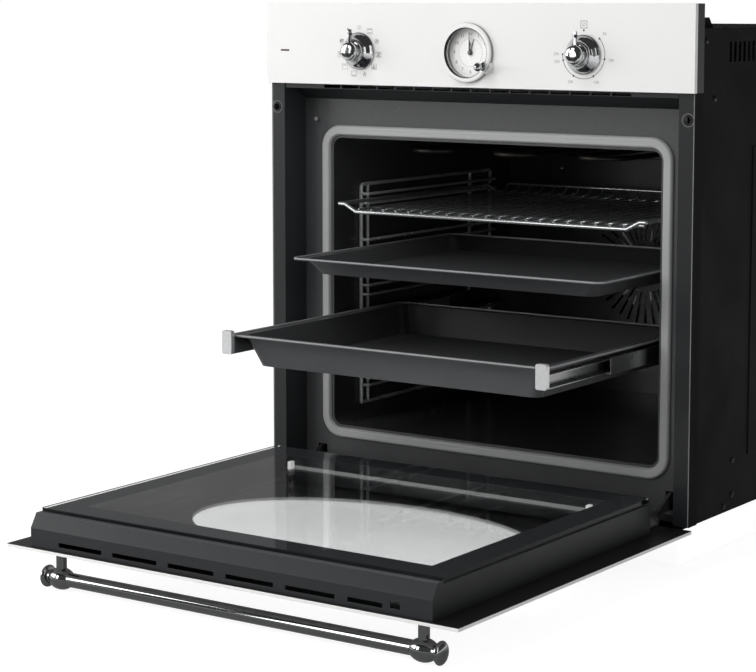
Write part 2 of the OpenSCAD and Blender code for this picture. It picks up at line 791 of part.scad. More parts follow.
// Control panel
module fascia_holes(grow) {
    for (x = [-1, 1]) translate([x * knob_x, dial_z]) circle(shaft_r + 1.5 + grow);
    translate([0, dial_z]) circle(bezel_in_r + bezel_tube_t + 0.1);
    translate([setting_dx, setting_z]) circle(setting_stem_r + 0.3);
    translate([indicator_x, dial_z]) square([indicator_w, indicator_h], center = true);
}
module control_fascia() color("#f1f0ea") difference() {
    block(-front_w / 2, front_w / 2, fascia_y, frame_y, fascia_z, fascia_top);
    block(-front_w / 2 + fascia_sheet, front_w / 2 - fascia_sheet, fascia_y + fascia_sheet, frame_y + cut,
        fascia_z + fascia_sheet, fascia_top - fascia_sheet);
    wall_xz(fascia_y - cut, fascia_y + 2 * fascia_sheet) fascia_holes(0);
}
module control_carrier() color("#1a1b1d") {
    x = frame_w / 2;
    difference() {
        union() {
            block(-x, x, frame_y, frame_y + steel_t, fascia_z, fascia_top);
            block(-x, x, frame_y, 0, fascia_top - steel_t, fascia_top);
            block(-x, x, frame_y, 0, fascia_z, fascia_z + steel_t);
            block(-recess_w / 2, recess_w / 2, frame_y, face_y + steel_t, fascia_z, fascia_z + steel_t);
        }
        wall_xz(frame_y - cut, frame_y + 2 * steel_t) {
            fascia_holes(0.5);
            translate([0, dial_z]) circle(bezel_in_r + bezel_tube_t + 0.4);
        }
    }
    both_sides() block(x - steel_t, x, frame_y, 0, fascia_z, fascia_top);
}
module indicator_lens() color("#3a1010") block(indicator_x - indicator_w / 2 + 0.1,
    indicator_x + indicator_w / 2 - 0.1, fascia_y - 0.4, frame_y + 6,
    dial_z - indicator_h / 2 + 0.1, dial_z + indicator_h / 2 - 0.1);

// A turned knob: rim, skirt, ring, neck and cap, with a pointer that stands out under the cap
module knob_profile() {
    square([knob_r, 2]);
    polygon([[0, 2], [knob_r - 1, 2], [knob_r - 3, 5.5], [knob_r - 6.6, 9], [knob_r - 8.4, 12.5], [0, 12.5]]);
    square([knob_r - 9.4, 15]);
    square([knob_r - 13, 18.2]);
    polygon([[0, 18], [10.6, 18], [11.2, 20], [11.2, knob_len - 3.5], [9.8, knob_len - 0.9],
        [6, knob_len], [0, knob_len]]);
}
module pointer_profile() {
    head = pointer_reach - 10;
    translate([-1.2, 5]) square([2.4, head]);
    polygon([[-1.3, head], [-3.4, head + 2.6], [-1.6, head + 4.4], [0, pointer_reach],
        [1.6, head + 4.4], [3.4, head + 2.6], [1.3, head]]);
}
module knob(x) {
    y = fascia_y - knob_back;
    difference() {
        union() {
            turned_front(x, y, dial_z) knob_profile();
            translate([x, 0, dial_z]) wall_xz(y - pointer_h - pointer_t, y - pointer_h) pointer_profile();
        }
        rod_y(x, y + knob_back - knob_bore_d, fascia_y + cut, dial_z, shaft_r);
    }
}
module shaft(x) rod_y(x, fascia_y - knob_bore_d + 0.5, shaft_end_y, dial_z, shaft_r - shaft_play);
module function_knob() color("#cfd2d4") knob(-knob_x);
module thermostat_knob() color("#cfd2d4") knob(knob_x);
module function_shaft() color("#b3a27a") shaft(-knob_x);
module thermostat_shaft() color("#b3a27a") shaft(knob_x);

// A switch or thermostat body behind the carrier, with the bush that its shaft turns in
module control_body(x, w, h, d) difference() {
    y0 = frame_y + steel_t;
    y1 = y0 + bush_len;
    union() {
        rod_y(x, y0, y1, dial_z, shaft_r + 4);
        block(x - w / 2, x + w / 2, y1, y1 + d, dial_z - h / 2, dial_z + h / 2);
        // Fixing ears on the carrier
        for (ear = [x - w / 2, x + w / 2 - ear_w]) block(ear, ear + ear_w, y0, y1, dial_z - 6, dial_z + 6);
    }
    rod_y(x, frame_y, shaft_end_y + 1, dial_z, shaft_r - shaft_play + play);
}
module function_switch() color("#e6e2d2") control_body(-knob_x, 44, 44, 32);
module thermostat_body() color("#c3b78e") control_body(knob_x, 50, 38, 34);

// Clock
module clock_bezel() color("#efeee8") difference() {
    tube = frame_y + 2 - fascia_y;
    union() {
        turned_front(0, frame_y + 2, dial_z) {
            translate([bezel_in_r, 0]) square([bezel_tube_t, tube]);
            translate([0, tube]) polygon([[bezel_in_r, 0], [bezel_r, 0], [bezel_r - 0.3, bezel_h - 2],
                [bezel_r - 1.1, bezel_h - 0.6], [bezel_r - 2.2, bezel_h], [bezel_in_r + 0.6, bezel_h],
                [bezel_in_r, bezel_h - 0.6]]);
        }
        rod_y(setting_dx, fascia_y - bezel_h + 0.5, fascia_y, setting_z, setting_boss_r);
    }
    rod_y(0, fascia_y - 20, frame_y + 10, dial_z, bezel_in_r);
    rod_y(setting_dx, fascia_y - 20, fascia_y + 20, setting_z, setting_stem_r + play);
}
module clock_dial() color("#f7f6f2") difference() {
    rod_y(0, dial_y, dial_y + dial_t, dial_z, bezel_in_r - 0.05);
    rod_y(0, dial_y - cut, dial_y + 3, dial_z, dial_bore_r);
}
module clock_glass() color([0.9, 0.95, 0.95, 0.3])
    rod_y(0, clock_glass_y, clock_glass_y + clock_glass_t, dial_z, bezel_in_r - 0.05);
module clock_movement() color("#d9d7cf") difference() {
    w = 2 * bezel_in_r - 4;
    strap_x = bezel_in_r + 14;
    union() {
        rod_y(0, dial_y + dial_t, dial_y + 3, dial_z, bezel_in_r - 1);
        translate([0, 0, dial_z]) wall_xz(dial_y + 2, dial_y + 30) round_rect(w, w, 8);
        // Strap that holds it to the carrier
        difference() {
            block(-strap_x, strap_x, frame_y + steel_t, dial_y + 5, dial_z - 5, dial_z + 5);
            rod_y(0, frame_y, dial_y + 2, dial_z, bezel_in_r + bezel_tube_t + 0.2);
        }
    }
    rod_y(0, dial_y, hand_root_y + 1, dial_z, dial_bore_r);
    rod_y(setting_dx, dial_y, dial_y + 31, setting_z, setting_stem_r + 1);
}
// A hand on its own sleeve or arbor; level 0 lies nearest the dial
module hand(level, sleeve_r, bore_r) difference() {
    y = dial_y - 0.6 - level * hand_step;
    union() {
        rod_y(0, y - hand_t, hand_root_y, dial_z, sleeve_r);
        translate([0, 0, dial_z]) wall_xz(y - hand_t, y) {
            circle(sleeve_r + 1);
            children();
        }
    }
    if (bore_r > 0) rod_y(0, y - hand_t - cut, hand_root_y + cut, dial_z, bore_r);
}
module minute_hand() color("#2b2b2b") hand(2, arbor_r, 0)
    polygon([[-0.7, 0], [-0.3, dial_r - 5], [0.3, dial_r - 5], [0.7, 0]]);
module hour_hand() color("#2b2b2b") hand(1, hour_sleeve_r, hour_bore_r)
    polygon([[-0.9, 0], [-0.6, 7.5], [-1.5, 9.2], [0, dial_r * 0.52], [1.5, 9.2], [0.6, 7.5], [0.9, 0]]);
module alarm_hand() color("#55504a") hand(0, alarm_sleeve_r, alarm_bore_r) rotate(-17)
    polygon([[-0.5, 0], [-0.3, dial_r * 0.57], [0.3, dial_r * 0.57], [0.5, 0]]);
module setting_stem() color("#cfd2d4") {
    collar_y = setting_y + setting_r + setting_neck + setting_skirt_h;
    rod_y(setting_dx, setting_y + 1, dial_y + 14, setting_z, setting_stem_r);
    rod_y(setting_dx, collar_y, collar_y + 1.5, setting_z, setting_stem_r + 1.2);
}
module setting_knob() color("#dcdfe1") difference() {
    turned_front(setting_dx, setting_y, setting_z) {
        intersection() {
            circle(setting_r);
            translate([0, -setting_r]) square([setting_r, 2 * setting_r]);
        }
        translate([0, clear - setting_r - setting_neck - setting_skirt_h]) {
            square([setting_skirt_r - 0.5, setting_skirt_h]);
            translate([0, 0.5]) square([setting_skirt_r, setting_skirt_h - 1]);
            square([setting_r * 0.65, setting_skirt_h + setting_neck + 1.5]);
        }
    }
    rod_y(setting_dx, setting_y + 0.8, fascia_y, setting_z, setting_stem_r + play);
}

module vent_grille() color("#1a1b1d") difference() {
    x = recess_w / 2 - 1;
    plate_h = steel_t * sqrt(1 + pow(grille_slope, 2));
    along_x(-x, x) polygon([[grille_y, fascia_z], [grille_y, grille_z], [grille_bend_y, grille_z],
        [face_y, grille_foot_z], [face_y, grille_foot_z + grille_lip],
        [face_y - steel_t, grille_foot_z + grille_lip],
        [face_y - steel_t, grille_foot_z + grille_slope * steel_t + plate_h],
        [grille_bend_y + (plate_h - steel_t) / grille_slope, grille_z + steel_t],
        [grille_y + steel_t, grille_z + steel_t], [grille_y + steel_t, fascia_z]]);
    for (i = [0 : grille_slots - 1])
        translate([(i - (grille_slots - 1) / 2) * grille_pitch, 0, grille_slot_z])
            block(-grille_slot_w / 2, grille_slot_w / 2, grille_y - cut, grille_y + 3, 0, grille_slot_h);
}

// Cooling blower: a long drum in a scroll that blows through a flat duct to the grille
module scroll(w, grow) along_x(-w / 2, w / 2) {
    translate([drum_y, drum_z]) circle(scroll_r + grow);
    translate([duct_y0, duct_z0 - grow]) square([drum_y - duct_y0, duct_z1 - duct_z0 + 2 * grow]);
}
module duct(w, grow) block(-w / 2, w / 2, duct_y0, duct_y1 + grow, duct_z0 - grow, duct_z1 + grow);
module blower_housing() color("#9a9d9f") difference() {
    union() {
        scroll(2 * scroll_x, duct_t);
        duct(duct_w + 2 * duct_t, duct_t);
        // Feet on the insulation
        both_sides()
            block(scroll_x - 10, scroll_x, drum_y - 20, drum_y + 20, wool_top, drum_z - drum_r - 2);
    }
    scroll(2 * (scroll_x - duct_t), 0);
    duct(duct_w, 0);
    block(-duct_w / 2, duct_w / 2, duct_y0 - cut, duct_y0 + cut, duct_z0, duct_z1);
    // Air inlet on top, and the bearings at both ends
    block(-drum_len / 2, drum_len / 2, drum_y - 8, drum_y + 18, drum_z + drum_r, drum_z + 2 * scroll_r);
    rod_x(-scroll_x - cut, scroll_x + cut, drum_y, drum_z, drum_shaft_r + play);
}
module cooling_drum() color("#b8bbbd") {
    x0 = -drum_len / 2;
    disc_t = 2;
    for (x = [x0, -x0 - disc_t]) rod_x(x, x + disc_t, drum_y, drum_z, drum_r);
    along_x(x0, -x0) translate([drum_y, drum_z]) for (i = [0 : drum_blades - 1])
        rotate(i * 360 / drum_blades) translate([drum_r - 6, -0.4]) square([5.5, 0.8]);
    rod_x(-scroll_x - 1, scroll_x + 20, drum_y, drum_z, drum_shaft_r);
}
module cooling_motor() color("#6f6a60") difference() {
    union() {
        rod_x(scroll_x + 6, scroll_x + 42, drum_y, drum_z, drum_r - 7);
        // Laminated core, and the feet that hold it to the scroll's end
        block(scroll_x + 12, scroll_x + 34, drum_y - 26, drum_y + 26, drum_z - 17, drum_z + 17);
        for (y = [drum_y - 24, drum_y + 18]) block(scroll_x, scroll_x + 14, y, y + 6, drum_z - 8, drum_z + 8);
    }
    rod_x(scroll_x - cut, scroll_x + 21, drum_y, drum_z, drum_shaft_r + play);
}

module convection_fan() color("#a9acae") {
    y0 = plenum_y + 1;
    y1 = y0 + fan_d;
    rod_y(0, y1 - 1.5, y1, fan_z, fan_r);
    wall_xz(y0, y1 - 1) translate([0, fan_z]) for (i = [0 : fan_blades - 1])
        rotate(i * 360 / fan_blades) translate([26, -0.6]) square([fan_r - 26, 1.2]);
    rod_y(0, y0 + 4, motor_y0 + motor_len - 6, fan_z, fan_shaft_r);
    rod_y(0, y0 + 2, y1, fan_z, 10);
}
module fan_motor() color("#6f6a60") difference() {
    union() {
        rod_y(0, motor_y0, motor_y0 + motor_len, fan_z, motor_r);
        translate([0, 0, fan_z]) wall_xz(motor_y0, motor_y0 + 3) round_rect(110, 110, 12);
    }
    rod_y(0, motor_y0 - 2, motor_y0 + motor_len - 5, fan_z, fan_shaft_r + play);
}

// Terminal box on the rear sheet, with a gland for the cable and a block of terminals
module terminal_box() color("#2c2d2f") translate([box_x, box_y, box_z]) difference() {
    w = box_w / 2;
    wall = 2;
    union() {
        difference() {
            block(-w, w, 0, box_d, 0, box_h);
            block(wall - w, w - wall, wall, box_d - wall, wall, box_h - wall);
        }
        block(6 - w, w - 6, 4, 16, 0, 14);
        rod_y(0, box_d + 4 - inlet_len, box_d + 4, box_h / 2, inlet_r + 4);
    }
    rod_y(0, box_d - inlet_len, box_d + 4 + cut, box_h / 2, inlet_r);
}

// Hinges: a claw hooked into the cavity's face carries a pin, and a channel in the door turns on it
module claw_profile() {
    slot_top = claw_slot_z + claw_slot_h - 1;
    heel_z = claw_slot_z + 1;
    translate([hinge_y, hinge_z]) circle(claw_head_r);
    polygon([[hinge_y - 2, hinge_z + claw_head_r - 1], [hinge_y + 2, hinge_z - claw_head_r + 1],
        [hinge_y + 12, heel_z], [claw_y1, heel_z], [claw_y1, slot_top], [face_y - 3, slot_top]]);
}
module hinge_claws() color("#a3a6a8") both_sides() difference() {
    union() {
        along_x(hinge_x - claw_t / 2, hinge_x + claw_t / 2) claw_profile();
        // Foot that stands on the base behind the face
        block(hinge_x - 6, hinge_x + 6, claw_y1 - 15, claw_y1, casing_t, claw_slot_z + claw_slot_h - 1);
    }
    rod_x(hinge_x - 5, hinge_x + 5, hinge_y, hinge_z, hinge_pin_r);
}
module hinge_pins() color("#c4c6c8") both_sides()
    rod_x(hinge_x - hinge_pin_half, hinge_x + hinge_pin_half, hinge_y, hinge_z, hinge_pin_r);
module hinge_channels() color("#8f9294") both_sides() difference() {
    inner = claw_t / 2 + cheek_gap;
    outer = inner + cheek_t;
    union() {
        for (x = [hinge_x - outer, hinge_x + inner]) along_x(x, x + cheek_t) {
            translate([hinge_y, hinge_z]) circle(claw_head_r);
            translate([hinge_y - channel_len, hinge_z - claw_head_r])
                square([channel_len, claw_head_r + channel_t1]);
        }
        block(hinge_x - outer, hinge_x + outer, hinge_y - channel_len, hinge_y - claw_head_r - 4,
            hinge_z + panel_t1, hinge_z + panel_t1 + cheek_t);
    }
    rod_x(hinge_x - 10, hinge_x + 10, hinge_y, hinge_z, hinge_pin_r + play);
}

// Door, drawn open: a point at u and t lies at Y = hinge_y - u and Z = hinge_z + t
module door_place() translate([0, hinge_y, hinge_z]) children();
module slab(w, u0, u1, t0, t1) block(-w / 2, w / 2, -u1, -u0, t0, t1);
module door_outer_panel() color("#efeee8") door_place() difference() {
    slab(front_w, panel_u0, panel_u1, panel_t0, panel_t1);
    translate([0, -oval_u, panel_t0 - cut]) linear_extrude(panel_t + 2 * cut)
        scale([oval_a, oval_b]) circle(1, $fn = 96);
}
module door_window_glass() color([0.85, 0.9, 0.9, 0.35]) door_place()
    translate([0, -oval_u, panel_t1]) linear_extrude(pane_t) round_rect(window_w, window_h, 10);
module door_inner_glass() color([0.1, 0.11, 0.12, 0.5]) door_place()
    translate([0, -(glass_u0 + glass_u1) / 2, body_top_t]) linear_extrude(pane_t)
        round_rect(door_body_w, glass_u1 - glass_u0, 3);
module body_profile(inset) polygon([[-body_u0 - inset, panel_t1], [-body_u1 + inset, panel_t1],
    [-body_u1 + inset, chamfer_t], [-body_u1 + chamfer_u + inset * 0.6, body_top_t - inset],
    [-body_u0 - inset, body_top_t - inset]]);
module door_frame() color("#212326") door_place() difference() {
    w = door_body_w / 2;
    inside = w - groove_d - door_sheet;
    union() {
        difference() {
            along_x(-w, w) body_profile(0);
            along_x(-inside, inside) body_profile(door_sheet);
            slab(2 * (w - door_sheet), body_u0 + door_sheet, body_u1 - door_sheet, panel_t1 - cut, chamfer_t);
        }
        // Rim that lines the view from the inner glass down to the window
        slab(field_w + 2 * rim_t, field_u0 - rim_t, field_u1 + rim_t, panel_t1 + pane_t + 0.5, body_top_t);
    }
    slab(field_w, field_u0, field_u1, panel_t1 - cut, body_top_t + cut);
    // Shadow groove under the glass along both sides, and the hinges' way in
    both_sides() {
        block(w - groove_d, w + cut, -body_u1 + 20, -body_u0 + cut, body_top_t - groove_h, body_top_t + cut);
        block(hinge_x - 5, hinge_x + 5, -body_u0 - 12, -body_u0 + cut, panel_t1 - cut, channel_t1 + 1);
    }
    // Vent slots along the upper edge, the last one shorter, and the latch's notch
    for (i = [0 : door_slots - 1]) {
        x = door_slot_x0 + i * door_slot_pitch;
        block(x, min(x + door_slot_len, door_slot_x1), -body_u1 - cut, -body_u1 + 2 * door_sheet,
            door_slot_t, door_slot_t + door_slot_h);
    }
    block(notch_x, notch_x + notch_w, -body_u1 - cut, -body_u1 + 2 * door_sheet, 0, notch_h);
}

// Handle: a bar with an egg-shaped collar and a domed disc at each end, on two posts
module bar_end_profile() intersection() {
    union() {
        intersection() {
            scale([collar_r, collar_len]) circle(1);
            translate([0, -collar_len]) square([collar_r, collar_len + neck_at]);
        }
        square([collar_r - 4.5, disc_at]);
        translate([0, disc_at]) scale([collar_r, disc_half]) circle(1);
    }
    translate([0, -collar_len]) square([2 * collar_r, 3 * collar_len]);
}
module handle_bar() color("#d3d6d8") door_place() difference() {
    post_x = post_span / 2;
    union() {
        rod_x(-post_x, post_x, -bar_u, bar_t, bar_r);
        both_sides() translate([post_x, -bar_u, bar_t]) rotate([0, 90, 0]) rotate_extrude() bar_end_profile();
    }
    both_sides() rod_z(post_x, -bar_u, bar_t, bar_t + 2 * collar_r, post_r);
}
module handle_posts() color("#d3d6d8") door_place() both_sides() {
    rod_z(post_span / 2, -bar_u, bar_t + 0.1, panel_t0, post_r - 0.05);
    rod_z(post_span / 2, -bar_u, panel_t0 - 1, panel_t0, post_r + 1);
}

module door_switch_pin() color("#d8dadb") {
    rod_y(-pin_x, gasket_y + 0.4, face_y + 16, pin_z, pin_r);
    rod_y(-pin_x, face_y + steel_t + pin_travel + 1, face_y + steel_t + pin_travel + 3, pin_z, pin_r + 2);
}

casing_side_left();
casing_side_right();
casing_top();
casing_base();
casing_rear();
front_frame();
cavity_face();
cavity_liner();
insulation_blanket();
door_gasket();
fan_cover();
ring_element();
grill_element();
bottom_element();
lamp_holder();
lamp_lens();
side_rack_left();
side_rack_right();
rail_channels();
control_fascia();
control_carrier();
indicator_lens();
function_switch();
thermostat_body();
clock_bezel();
clock_dial();
clock_glass();
clock_movement();
vent_grille();
blower_housing();
cooling_motor();
fan_motor();
terminal_box();
hinge_claws();
hinge_pins();
convection_fan();
cooling_drum();
function_knob();
function_shaft();
thermostat_knob();
thermostat_shaft();
minute_hand();
hour_hand();
alarm_hand();
setting_stem();
setting_knob();
wire_rack();
shallow_tray();
deep_tray();
rail_middles();
rail_runners();
rail_caps();
door_outer_panel();
door_frame();
door_window_glass();
door_inner_glass();
hinge_channels();
handle_bar();
handle_posts();
door_switch_pin();
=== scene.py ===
"""The finish of a built-in oven: enamel, chrome, glass, print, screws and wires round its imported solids."""
import math

import bmesh
import bpy
from bpy.props import FloatProperty, FloatVectorProperty, PointerProperty
from mathutils import Matrix, Vector


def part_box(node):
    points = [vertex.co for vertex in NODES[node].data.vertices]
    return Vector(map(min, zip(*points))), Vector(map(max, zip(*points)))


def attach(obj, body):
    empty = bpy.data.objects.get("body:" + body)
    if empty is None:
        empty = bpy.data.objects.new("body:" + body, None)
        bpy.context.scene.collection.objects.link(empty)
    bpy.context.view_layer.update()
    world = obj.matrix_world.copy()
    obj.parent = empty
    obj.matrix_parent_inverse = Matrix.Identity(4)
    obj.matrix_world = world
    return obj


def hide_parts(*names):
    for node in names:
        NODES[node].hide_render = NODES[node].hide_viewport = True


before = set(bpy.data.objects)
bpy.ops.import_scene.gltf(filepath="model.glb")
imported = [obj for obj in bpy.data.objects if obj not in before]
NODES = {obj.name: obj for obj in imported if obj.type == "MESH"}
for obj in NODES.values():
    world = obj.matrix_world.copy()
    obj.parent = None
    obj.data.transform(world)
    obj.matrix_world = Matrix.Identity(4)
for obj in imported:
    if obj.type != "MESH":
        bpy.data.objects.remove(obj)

bl_info = {
    "name": "Built-in Oven Finish",
    "version": (1, 0, 0),
    "blender": (4, 5, 0),
    "location": "3D View > Sidebar > Oven",
    "description": "Dresses a packed built-in oven with its enamel, chrome, glass, print and fixings",
    "category": "Add Mesh",
}

MM = 0.001
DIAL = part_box("clock_dial")
DIAL_Y, DIAL_R, DIAL_Z = DIAL[0].y, DIAL[1].x, (DIAL[0].z + DIAL[1].z) / 2
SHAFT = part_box("thermostat_shaft")
KNOB_X = (SHAFT[0].x + SHAFT[1].x) / 2
FASCIA_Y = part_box("control_fascia")[0].y
FRAME_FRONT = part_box("front_frame")[0].y
CASING_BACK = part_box("casing_rear")[1].y


# Settings

def colour_setting(name, description, default):
    return FloatVectorProperty(name=name, description=description, subtype="COLOR", size=3, min=0, max=1,
                               default=default)


def length_setting(name, description, default, low, high):
    """A size, given in millimetres."""
    return FloatProperty(name=name, description=description, subtype="DISTANCE", unit="LENGTH", default=default * MM,
                         min=low * MM, max=high * MM)


def light_setting(name, description, default, high):
    return FloatProperty(name=name, description=description, default=default, min=0, max=high)


class OvenFinish(bpy.types.PropertyGroup):
    """Colours of the oven's surfaces"""
    fascia: colour_setting("Fascia enamel", "Pale enamel of the fascia and the door's front", (0.875, 0.872, 0.862))
    enamel: colour_setting("Cavity enamel", "Dark enamel of the cavity and the trays", (0.045, 0.046, 0.048))
    paint: colour_setting("Frame paint", "Satin paint of the front frame and the door's body", (0.019, 0.0203, 0.022))
    casing: colour_setting("Casing paint", "Powder coat of the outer casing", (0.0065, 0.0065, 0.0066))
    gasket: colour_setting("Gasket", "Silicone rubber of the door seal", (0.42, 0.425, 0.425))
    chrome: colour_setting("Chrome", "Bright plating of the knobs", (0.52, 0.527, 0.534))
    print_ink: colour_setting("Print", "Ink of the dots and the scale", (0.06, 0.06, 0.062))
    glass: colour_setting("Door glass", "Tint of the door's inner pane", (0.985, 0.987, 0.987))


class OvenSizes(bpy.types.PropertyGroup):
    """Sizes of the small pieces that are added to the solids"""
    print_height: length_setting("Ink thickness", "How far the print stands off its panel", 0.06, 0.01, 0.3)
    symbol: length_setting("Symbol size", "Width of one function symbol", 7.6, 3, 9)
    symbol_ring: length_setting("Symbol ring", "Radius of the ring of symbols", 28.6, 24, 40)
    scale_ring: length_setting("Scale ring", "Radius of the temperature scale", 27.5, 24, 36)
    scale_digit: length_setting("Scale digits", "Height of the temperature numbers", 3.2, 1.5, 5)
    clock_digit: length_setting("Clock digits", "Height of the clock's numerals", 3.9, 2, 6)
    casing_screw: length_setting("Casing screw", "Head diameter of the casing's screws", 7.2, 4, 12)
    cover_screw: length_setting("Cover screw", "Head diameter of the screws inside the cavity", 8, 4, 12)
    wire: length_setting("Side rack wire", "Diameter of the side racks' runner wires", 4, 2, 8)
    bead: length_setting("Tray bead", "Diameter of the rolled rim of the trays", 2.8, 1.5, 5)
    collar: length_setting("Screw hole collar", "Outer diameter of the pressed collars in the frame", 14, 10, 18)
    hole: length_setting("Cabinet screw hole", "Diameter of the hole inside each collar", 8, 4, 9)


class OvenStudio(bpy.types.PropertyGroup):
    """Light and floor"""
    floor_z: length_setting("Floor height", "Height of the floor below the oven's base", -46, -500, 0)
    windows: light_setting("Left windows", "Brightness of the two tall lights on the left", 3.6, 40)
    strip: light_setting("Right strip", "Brightness of the tall light on the right", 1.8, 40)
    top: light_setting("Top light", "Power of the soft light above the front", 44, 400)
    sky: light_setting("Sky", "Strength of the room's even light", 0.34, 2)
    dusk: light_setting("Room in mirrors", "How bright chrome sees the room outside its lights", 0.055, 1)


# Nodes

def put(tree, kind, inputs=None, **values):
    """Adds a node, sets its values, and sets or links its inputs."""
    made = tree.nodes.new(kind)
    for key, value in values.items():
        setattr(made, key, value)
    for key, value in (inputs or {}).items():
        if isinstance(value, bpy.types.NodeSocket):
            tree.links.new(value, made.inputs[key])
        else:
            made.inputs[key].default_value = value
    return made


def maths(tree, operation, *values):
    """The result of a Math node."""
    return put(tree, "ShaderNodeMath", dict(enumerate(values)), operation=operation).outputs[0]


def vector(tree, operation, *values):
    """The vector or, where it gives a number, the value of a Vector Math node."""
    made = put(tree, "ShaderNodeVectorMath", dict(enumerate(values)), operation=operation)
    return made.outputs["Value" if operation in ("DOT_PRODUCT", "LENGTH", "DISTANCE") else "Vector"]


def ramp(tree, value, start, end, low=0.0, high=1.0):
    """Turns a value between start and end into one between low and high."""
    made = put(tree, "ShaderNodeMapRange", {"Value": value, "From Min": start, "From Max": end, "To Min": low,
                                            "To Max": high})
    return made.outputs["Result"]


def coordinate(tree, kind="Object", axis=None):
    """The object's coordinates or normals, whole or along one axis."""
    place = put(tree, "ShaderNodeTexCoord").outputs[kind]
    return put(tree, "ShaderNodeSeparateXYZ", {0: place}).outputs[axis] if axis else place


def noise(tree, scale, detail, **more):
    """The value of a noise texture on the object's coordinates."""
    made = put(tree, "ShaderNodeTexNoise", {"Vector": coordinate(tree), "Scale": scale, "Detail": detail, **more})
    return made.outputs["Fac"]


def stripes(tree, scale, direction, **more):
    """The value of a pattern of close lines on the object's coordinates."""
    made = put(tree, "ShaderNodeTexWave", {"Vector": coordinate(tree), "Scale": scale, **more},
               bands_direction=direction)
    return made.outputs["Fac"]


def arrange(tree):
    """Sets the nodes out in columns, from the last one back."""
    column = {n: 0 for n in tree.nodes}
    for _ in range(len(tree.nodes)):
        moved = False
        for link in tree.links:
            if column[link.from_node] < column[link.to_node] + 1:
                column[link.from_node] = column[link.to_node] + 1
                moved = True
        if not moved:
            break
    rows = {}
    for n, c in column.items():
        n.location = (-220 * c, -260 * rows.get(c, 0))
        rows[c] = rows.get(c, 0) + 1


SOCKETS = {float: "NodeSocketFloat", int: "NodeSocketInt", tuple: "NodeSocketVector"}


def open_group(name, ins, outs, kind="ShaderNodeTree"):
    """A node group, and its input sockets. An input is given by its default, or by its type where it has none."""
    tree = bpy.data.node_groups.new(name, kind)
    for title, value in ins.items():
        typed = isinstance(value, str)
        made = tree.interface.new_socket(title, in_out="INPUT", socket_type=value if typed else SOCKETS[type(value)])
        if not typed:
            made.default_value = value
    for title, socket in outs.items():
        tree.interface.new_socket(title, in_out="OUTPUT", socket_type=socket)
    return tree, tree.nodes.new("NodeGroupInput").outputs


def close_group(tree, **results):
    """Links a group's results to its outputs."""
    put(tree, "NodeGroupOutput", results)
    arrange(tree)
    return tree


def flecks_group():
    """Fine pale flecks scattered through dark enamel."""
    tree, given = open_group("Enamel flecks", {"Density": 700.0, "Share": 0.1, "Size": 0.22}, {"Mask": SOCKETS[float]})
    cells = put(tree, "ShaderNodeTexVoronoi", {"Vector": coordinate(tree), "Scale": given["Density"]})
    pick = put(tree, "ShaderNodeSeparateColor", {"Color": cells.outputs["Color"]})
    chosen = maths(tree, "LESS_THAN", pick.outputs["Red"], given["Share"])
    inside = maths(tree, "LESS_THAN", cells.outputs["Distance"], given["Size"])
    both = maths(tree, "MULTIPLY", chosen, inside)
    return close_group(tree, Mask=maths(tree, "MULTIPLY", both, pick.outputs["Green"]))


def coat_group():
    """The slow wave and fine peel of a fired or sprayed coat."""
    tree, given = open_group("Coat surface", {"Wave scale": 40.0, "Peel scale": 900.0, "Wave": 0.6, "Peel": 0.2},
                             {"Height": SOCKETS[float]})
    low = maths(tree, "MULTIPLY", noise(tree, given["Wave scale"], 1.0), given["Wave"])
    peel = noise(tree, given["Peel scale"], 2.0)
    return close_group(tree, Height=maths(tree, "MULTIPLY_ADD", peel, given["Peel"], low))


def marks_group():
    """Soft patches where a surface was wiped and handled."""
    tree, given = open_group("Handling marks", {"Scale": 9.0, "Low": 0.1, "High": 0.2},
                             {"Roughness": SOCKETS[float], "Patch": SOCKETS[float]})
    patch = noise(tree, given["Scale"], 5.0, Roughness=0.6, Distortion=0.8)
    return close_group(tree, Roughness=ramp(tree, patch, 0.3, 0.7, given["Low"], given["High"]), Patch=patch)


def grain_group():
    """Drawn or brushed streaks along one axis."""
    tree, given = open_group("Drawn grain", {"Stretch": (1.0, 1.0, 1.0), "Scale": 400.0}, {"Streak": SOCKETS[float]})
    long = vector(tree, "MULTIPLY", coordinate(tree), given["Stretch"])
    streak = put(tree, "ShaderNodeTexNoise", {"Vector": long, "Scale": given["Scale"], "Detail": 3.0})
    return close_group(tree, Streak=streak.outputs["Fac"])


def edge_group():
    """Rounded edges for the light, and a mask of where a coat is thinner on them."""
    tree, given = open_group("Soft edges", {"Radius": 0.0008}, {"Normal": SOCKETS[tuple], "Edge": SOCKETS[float]})
    bevel = put(tree, "ShaderNodeBevel", {"Radius": given["Radius"]}, samples=4).outputs["Normal"]
    flat = put(tree, "ShaderNodeNewGeometry").outputs["Normal"]
    turned = ramp(tree, vector(tree, "DOT_PRODUCT", bevel, flat), 0.99, 0.85)
    return close_group(tree, Normal=bevel, Edge=turned)


GROUPS = {}


def use(tree, name, **inputs):
    """Places a shared effect in a material."""
    if not GROUPS:
        GROUPS.update(flecks=flecks_group(), coat=coat_group(), marks=marks_group(), grain=grain_group(),
                      edge=edge_group())
    return put(tree, "ShaderNodeGroup", inputs, node_tree=GROUPS[name]).outputs


# Finishes

